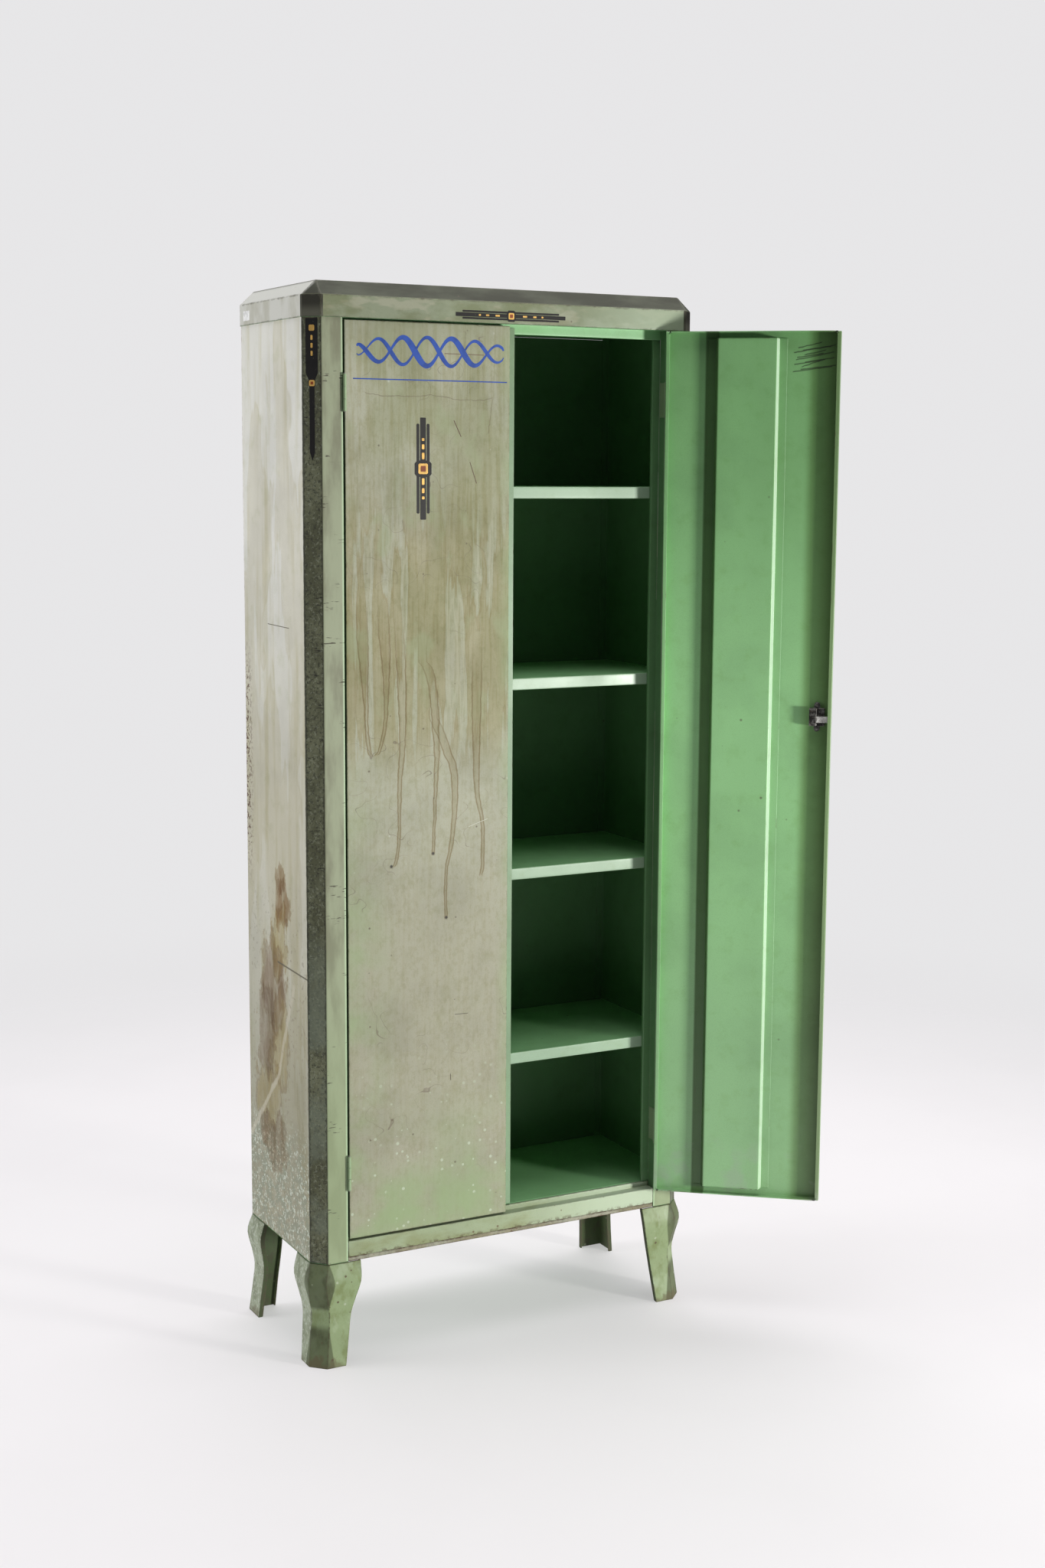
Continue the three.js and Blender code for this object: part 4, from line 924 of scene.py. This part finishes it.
def corner_ornament(name, hand, paints):
    """A generic dark tapering bar on a chamfered corner, with a few gilt tabs."""
    black, gold, red = paints
    middle = Vector((hand * (HALF_WIDTH - CHAMFER / 2), FRONT + CHAMFER / 2, 0))
    across = Vector((hand, 1, 0)).normalized()
    outward = Vector((hand, -1, 0)).normalized()
    top = CAP_LOW.z - 2 * MM
    ground = Plate(middle, across, outward)
    wide, slim = 11 * MM, 4.6 * MM
    ground.polygon([(wide, top), (-wide, top), (-wide, top - 0.090), (-slim, top - 0.104), (-slim, top - 0.222),
                    (0, top - 0.236), (slim, top - 0.222), (slim, top - 0.104), (wide, top - 0.090)])
    ground.piece(f"{name}_ground", "cabinet", "side_paint", black)
    gilt = Plate(middle, across, outward)
    gilt.bar(0, top - 0.016, 5 * MM, 5 * MM, 2, 1.5 * MM)
    for i in range(3):
        gilt.bar(0, top - 0.032 - 0.013 * i, 1.8 * MM, 4 * MM, 2, 0.8 * MM)
    gilt.bar(0, top - 0.107, 5 * MM, 5 * MM, 2, 1.5 * MM)
    gilt.piece(f"{name}_gilt", "cabinet", "side_paint", gold)
    boss = Plate(middle, across, outward)
    boss.bar(0, top - 0.107, 2.4 * MM, 2.4 * MM, 3)
    boss.piece(f"{name}_boss", "cabinet", "side_paint", red)


def painted_braid(name, hand, body, blue):
    """A generic hand-painted braid of two brush strokes across the top of a door, over a thin rule."""
    plate = Plate((0, FRONT, 0), (1, 0, 0), (0, -1, 0))
    inner, outer = 14 * MM, 292 * MM
    middle, rise, length = 1.792, 24 * MM, 92 * MM
    steps = 110
    for layer, phase, slim in ((1, 0.0, 1.0), (2, pi, 0.72)):
        line = []
        widths = []
        for i in range(steps + 1):
            along = inner + (outer - inner) * i / steps
            turn = 2 * pi * along / length + phase
            taper = 0.3 + 0.7 * sin(pi * i / steps) ** 0.4
            line.append((hand * along, middle + rise * taper * sin(turn)))
            widths.append(slim * taper * (4.2 + 1.8 * cos(turn)) * MM)
        plate.ribbon(line, widths, layer)
    plate.bar(hand * 153 * MM, 1.744, 146 * MM, 1.0 * MM)
    plate.piece(name, body, "door_paint", blue)


def blank_label(paper):
    """The small blank paper label on the end of the cap."""
    origin = Vector((CAP_LOW.x, 0, 0))
    plate = Plate(origin, (0, 1, 0), (-1, 0, 0))
    plate.bar(0.125, 1.8605, 15 * MM, 8.5 * MM, 1, 1 * MM)
    plate.piece("blank_label", "cabinet", "shell_paint", paper)


# ---------------------------------------------------------------- the cabinet

def zone_side(hand):
    """Picks the outside paint for the side, corner, stile and rear flange, and the darker mint that paints the shade
    inside for the rest.
    """
    def zone(centre, normal):
        on_side = normal.x * hand > 0.5 and abs(centre.x) > HALF_WIDTH - CHAMFER
        on_front = normal.y < -0.3 and abs(centre.x) > STILE_INNER and centre.y < FRONT + CHAMFER
        on_back = normal.y > 0.5 and centre.y > BACK - 2 * MM
        return 0 if on_side or on_front or on_back else 1
    return zone


def zone_door(centre, normal):
    """The outside, the inside and the four outer faces of the folded rim."""
    if normal.y < -0.35 and centre.y < FRONT + 1 * MM:
        return 0
    across = abs(centre.x)
    at_rim = min(across - DOOR_RIM_LOW, DOOR_RIM_HIGH - across, centre.z - DOOR_LOW.z, DOOR_HIGH.z - centre.z)
    return 2 if at_rim < 0.6 * MM and abs(normal.y) < 0.5 else 1


def zone_stiffener(centre, normal):
    # Flanks that face the free edge are 1, which take a paler copy of the mint as a painted highlight.
    return 1 if normal.x < -0.6 else 0


def zone_lip(centre, normal):
    # The shelf's front faces are 1, which take a darker copy of the mint as painted shade.
    return 1 if normal.y < -0.5 else 0


def zone_back(centre, normal):
    # The outside of the back is 1; the inside, 0, takes the darker mint of painted shade.
    return 1 if normal.y > 0.5 else 0


def zone_leg(centre, normal):
    """The leg's hollow inside, which faces the middle of the cabinet, is 1."""
    inward = Vector((-centre.x / abs(centre.x), -centre.y / abs(centre.y), 0)).normalized()
    return 1 if normal.dot(inward) > 0.25 else 0


def zone_cap(centre, normal):
    outward = normal.z * 0.5 + normal.dot(Vector((centre.x, centre.y * 2, 0)).normalized())
    return 0 if outward > 0 else 1


def dress_cabinet():
    mint = green_inside("mint_enamel")
    side_paint = weathered_side("side_enamel")
    shell = weathered_cap("cap_enamel")
    legs = [leg_paint("leg_enamel"), leg_inside_paint("leg_hollow_painted_shade")]
    # Painted shade: a darker copy of the mint for the inner faces of the sides and the back.
    deep = green_inside("mint_painted_shade", color=SHADED_MINT)
    # Painted shade: the shelf fronts take a darker, less glossy copy of the mint than the shelf tops.
    lip = green_inside("shelf_lip_painted_shade", color=(0.29, 0.42, 0.285), gloss=0.32)
    hinge = enamel("hinge_enamel", (0.27, 0.38, 0.21), 0.40)
    specks(hinge, 6 * MM, 1.2 * MM, 0.4, (0.06, 0.055, 0.035))
    hinge_paint = hinge.done(bump=0.3)
    pin_steel = worn_metal("pin_steel", (0.20, 0.20, 0.17), 0.45, 0.6, (0.06, 0.055, 0.035))

    for name, hand in (("left", -1), ("right", 1)):
        formed(f"{name}_side_panel", [side_paint, deep], zone_side(hand))
        for level in ("upper", "lower"):
            formed(f"{name}_frame_hinge_{level}", [hinge_paint], fold=0.3 * MM)
            formed(f"{name}_hinge_pin_{level}", [pin_steel], fold=0.2 * MM)
        for end in ("front", "rear"):
            formed(f"leg_{end}_{name}", legs, zone_leg)
    formed("top_cap", [shell, mint], zone_cap)
    formed("bottom_rail", [rail_paint("rail_enamel")])
    formed("front_stretcher", [stretcher_primer("stretcher_primer")])
    formed("back_panel", [deep, weathered_back("back_enamel")], zone_back)
    formed("top_rail", [mint])
    formed("floor_panel", [mint])
    for i in range(4):
        formed(f"shelf_{i + 1}", [mint, lip], zone_lip)
    return hinge_paint


def dress_doors(hinge_paint):
    left_inside = green_inside("left_door_mint")
    # Painted light: the open door's inside is a brighter copy of the mint, and its painted shadows and shade come from
    # green_inside.
    open_door_inside_painted_light_and_shade = green_inside("open_door_mint_painted_light_and_shade", True, (0.335, 0.655, 0.300), scuff_marks_and_painted_shade=True)
    left_outside = weathered_door("left_door_enamel", False, True)
    right_outside = weathered_door("right_door_enamel", True, False)
    # Painted shade: the left door's rim, seen only in the gap, is painted near black.
    left_rim = green_inside("left_rim_painted_shade", color=(0.050, 0.075, 0.040))
    right_rim = green_inside("right_rim_enamel", True, (0.36, 0.48, 0.32), gloss=MATT)
    # Painted highlight: a paler copy of the mint on the stiffener's flank that faces the free edge.
    right_bend = green_inside("right_bend_painted_highlight", True, (0.46, 0.62, 0.45))
    formed("left_door_panel", [left_outside, left_inside, left_rim], zone_door)
    formed("right_door_panel", [right_outside, open_door_inside_painted_light_and_shade, right_rim], zone_door)
    formed("left_door_stiffener", [left_inside])
    formed("right_door_stiffener", [open_door_inside_painted_light_and_shade, right_bend], zone_stiffener)
    formed("left_door_lap_strip", [green_inside("lap_strip_mint", color=(0.22, 0.33, 0.20), gloss=MATT)])
    for name in ("left", "right"):
        for level in ("upper", "lower"):
            formed(f"{name}_door_hinge_{level}", [hinge_paint], fold=0.3 * MM)


def dress_latch():
    black = worn_metal("latch_black", (0.022, 0.021, 0.020), 0.42, 0.6, (0.07, 0.055, 0.04), True)
    chrome = worn_metal("latch_chrome", (0.88, 0.87, 0.83), 0.34, 0.35, (0.40, 0.37, 0.31), True)
    steel = worn_metal("spindle_steel", (0.45, 0.44, 0.40), 0.35, 0.9, (0.10, 0.07, 0.05), True)
    for node in ("latch_case", "latch_screw_upper", "latch_screw_lower"):
        formed(node, [black], fold=0.4 * MM)
    for node in ("latch_bolt", "handle_rosette", "turn_handle"):
        formed(node, [chrome], fold=0.4 * MM)
    formed("handle_spindle", [steel], fold=0.3 * MM)


def dress_ornaments():
    for name, hand, body in (("left", -1, "left_door"), ("right", 1, "right_door")):
        swinging = body == "right_door"
        paints = (
            ornament_paint(f"{name}_transfer_black", (0.010, 0.009, 0.009), 0.45, 0.68, 0.0, swinging),
            ornament_paint(f"{name}_transfer_gilt", (0.72, 0.44, 0.12), 0.35, 0.72, 0.2, swinging),
            ornament_paint(f"{name}_transfer_red", (0.25, 0.06, 0.02), 0.40, 0.72, 0.0, swinging),
        )
        blue = ornament_paint(f"{name}_brush_blue", (0.022, 0.075, 0.36), 0.40, 0.68, 0.0, swinging)
        centre = Vector((hand * 169 * MM, FRONT, 1.594))
        face = (centre, False, 174 * MM, 1.0)
        bar_ornament(f"{name}_door_ornament", face, body, "door_paint", paints)
        painted_braid(f"{name}_door_braid", hand, body, blue)
        if not swinging:
            fascia = Vector((0, CAP_LOW.y, 1.8575))
            face = (fascia, True, 215 * MM, 0.6)
            bar_ornament("cap_ornament", face, "cabinet", "shell_paint", paints)
            for corner, side in (("left", -1), ("right", 1)):
                corner_ornament(f"{corner}_corner_ornament", side, paints)
    blank_label(ornament_paint("blank_paper", (0.90, 0.90, 0.88), 0.7, 0.85))


# ---------------------------------------------------------------- studio

CAMERA_FROM_MIDDLE = Vector((-1.751, -3.526, 1.5925))
CAMERA_YAW = 0.486
CAMERA_PITCH = -0.146
CAMERA_ROLL = 0.006
FOCAL_LENGTH = 49.0
SENSOR_HEIGHT = 36.0
BACKDROP = (0.80, 0.795, 0.805)
FLOOR_GLOW = (0.42, 0.412, 0.418, 1)


def camera():
    forward = Vector((sin(CAMERA_YAW) * cos(CAMERA_PITCH), cos(CAMERA_YAW) * cos(CAMERA_PITCH), sin(CAMERA_PITCH)))
    level = Vector((cos(CAMERA_YAW), -sin(CAMERA_YAW), 0))
    upright = level.cross(forward)
    right = level * cos(CAMERA_ROLL) + upright * sin(CAMERA_ROLL)
    up = upright * cos(CAMERA_ROLL) - level * sin(CAMERA_ROLL)
    lens = bpy.data.cameras.new("camera")
    lens.sensor_fit = "VERTICAL"
    lens.sensor_height = SENSOR_HEIGHT
    lens.lens = FOCAL_LENGTH
    lens.clip_end = 200
    made = bpy.data.objects.new("camera", lens)
    turn = Matrix((right, up, -forward)).transposed().to_4x4()
    made.matrix_world = Matrix.Translation(MIDDLE + CAMERA_FROM_MIDDLE) @ turn
    bpy.context.scene.collection.objects.link(made)
    bpy.context.scene.camera = made


def floor():
    """A wide pale floor with soft shadows that fades into the backdrop."""
    mesh = bmesh.new()
    bmesh.ops.create_grid(mesh, x_segments=24, y_segments=24, size=11.0)
    data = bpy.data.meshes.new("floor")
    mesh.to_mesh(data)
    mesh.free()
    made = bpy.data.objects.new("floor", data)
    bpy.context.scene.collection.objects.link(made)
    s = Surface("floor", (0.405, 0.395, 0.400), 0.6)
    s.shade(s.rise(s.noise(0.5, 3.0), 0.4, 0.7), 0.97)
    material = s.done(bump=0.05, Emission_Color=FLOOR_GLOW, Emission_Strength=1.0)
    away = s.node("ShaderNodeVectorMath", {0: s.at}, 1, operation="LENGTH")
    clear = s.node("ShaderNodeBsdfTransparent", {})
    faded = s.node("ShaderNodeMixShader", {0: s.rise(away, 1.4, 3.6), 1: s.shader.outputs[0], 2: clear})
    s.tree.links.new(faded, s.tree.nodes["Material Output"].inputs["Surface"])
    data.materials.append(material)


def area_light(name, offset, aim_height, size, power, color=(1, 1, 1)):
    lamp = bpy.data.lights.new(name, "AREA")
    lamp.shape = "RECTANGLE"
    lamp.size, lamp.size_y = size
    lamp.energy = power
    lamp.color = color
    made = bpy.data.objects.new(name, lamp)
    made.location = MIDDLE + Vector(offset)
    aim = MIDDLE + Vector((0, 0, aim_height)) - made.location
    made.rotation_euler = aim.to_track_quat("-Z", "Y").to_euler()
    bpy.context.scene.collection.objects.link(made)


def studio():
    """A soft key from the right of the front, a wide panel from the left and rear, and a pale room."""
    area_light("key", (2.6, -3.7, 0.76), 1.0, (0.55, 0.55), 200, (1.0, 0.985, 0.955))
    area_light("left_panel", (-5.0, 1.5, 1.7), 0.9, (2.4, 2.4), 165, (0.98, 0.985, 1.0))
    area_light("overhead", (0.5, 0.4, 4.2), 0.0, (4.4, 4.0), 240, (1.0, 0.98, 1.0))
    world = bpy.data.worlds.new("room")
    bpy.context.scene.world = world
    world.use_nodes = True
    tree = world.node_tree
    seen = tree.nodes["Background"]
    seen.inputs["Color"].default_value = (*BACKDROP, 1)
    glow = tree.nodes.new("ShaderNodeBackground")
    glow.inputs["Color"].default_value = (0.92, 0.96, 1.0, 1)
    glow.inputs["Strength"].default_value = 0.08
    rays = tree.nodes.new("ShaderNodeLightPath")
    both = tree.nodes.new("ShaderNodeMixShader")
    tree.links.new(rays.outputs["Is Camera Ray"], both.inputs[0])
    tree.links.new(glow.outputs[0], both.inputs[1])
    tree.links.new(seen.outputs[0], both.inputs[2])
    tree.links.new(both.outputs[0], tree.nodes["World Output"].inputs["Surface"])
    bpy.context.scene.view_settings.view_transform = "Standard"


noise.seed_set(WAVE_SEED)
camera()
dress_doors(dress_cabinet())
dress_latch()
dress_ornaments()
floor()
studio()
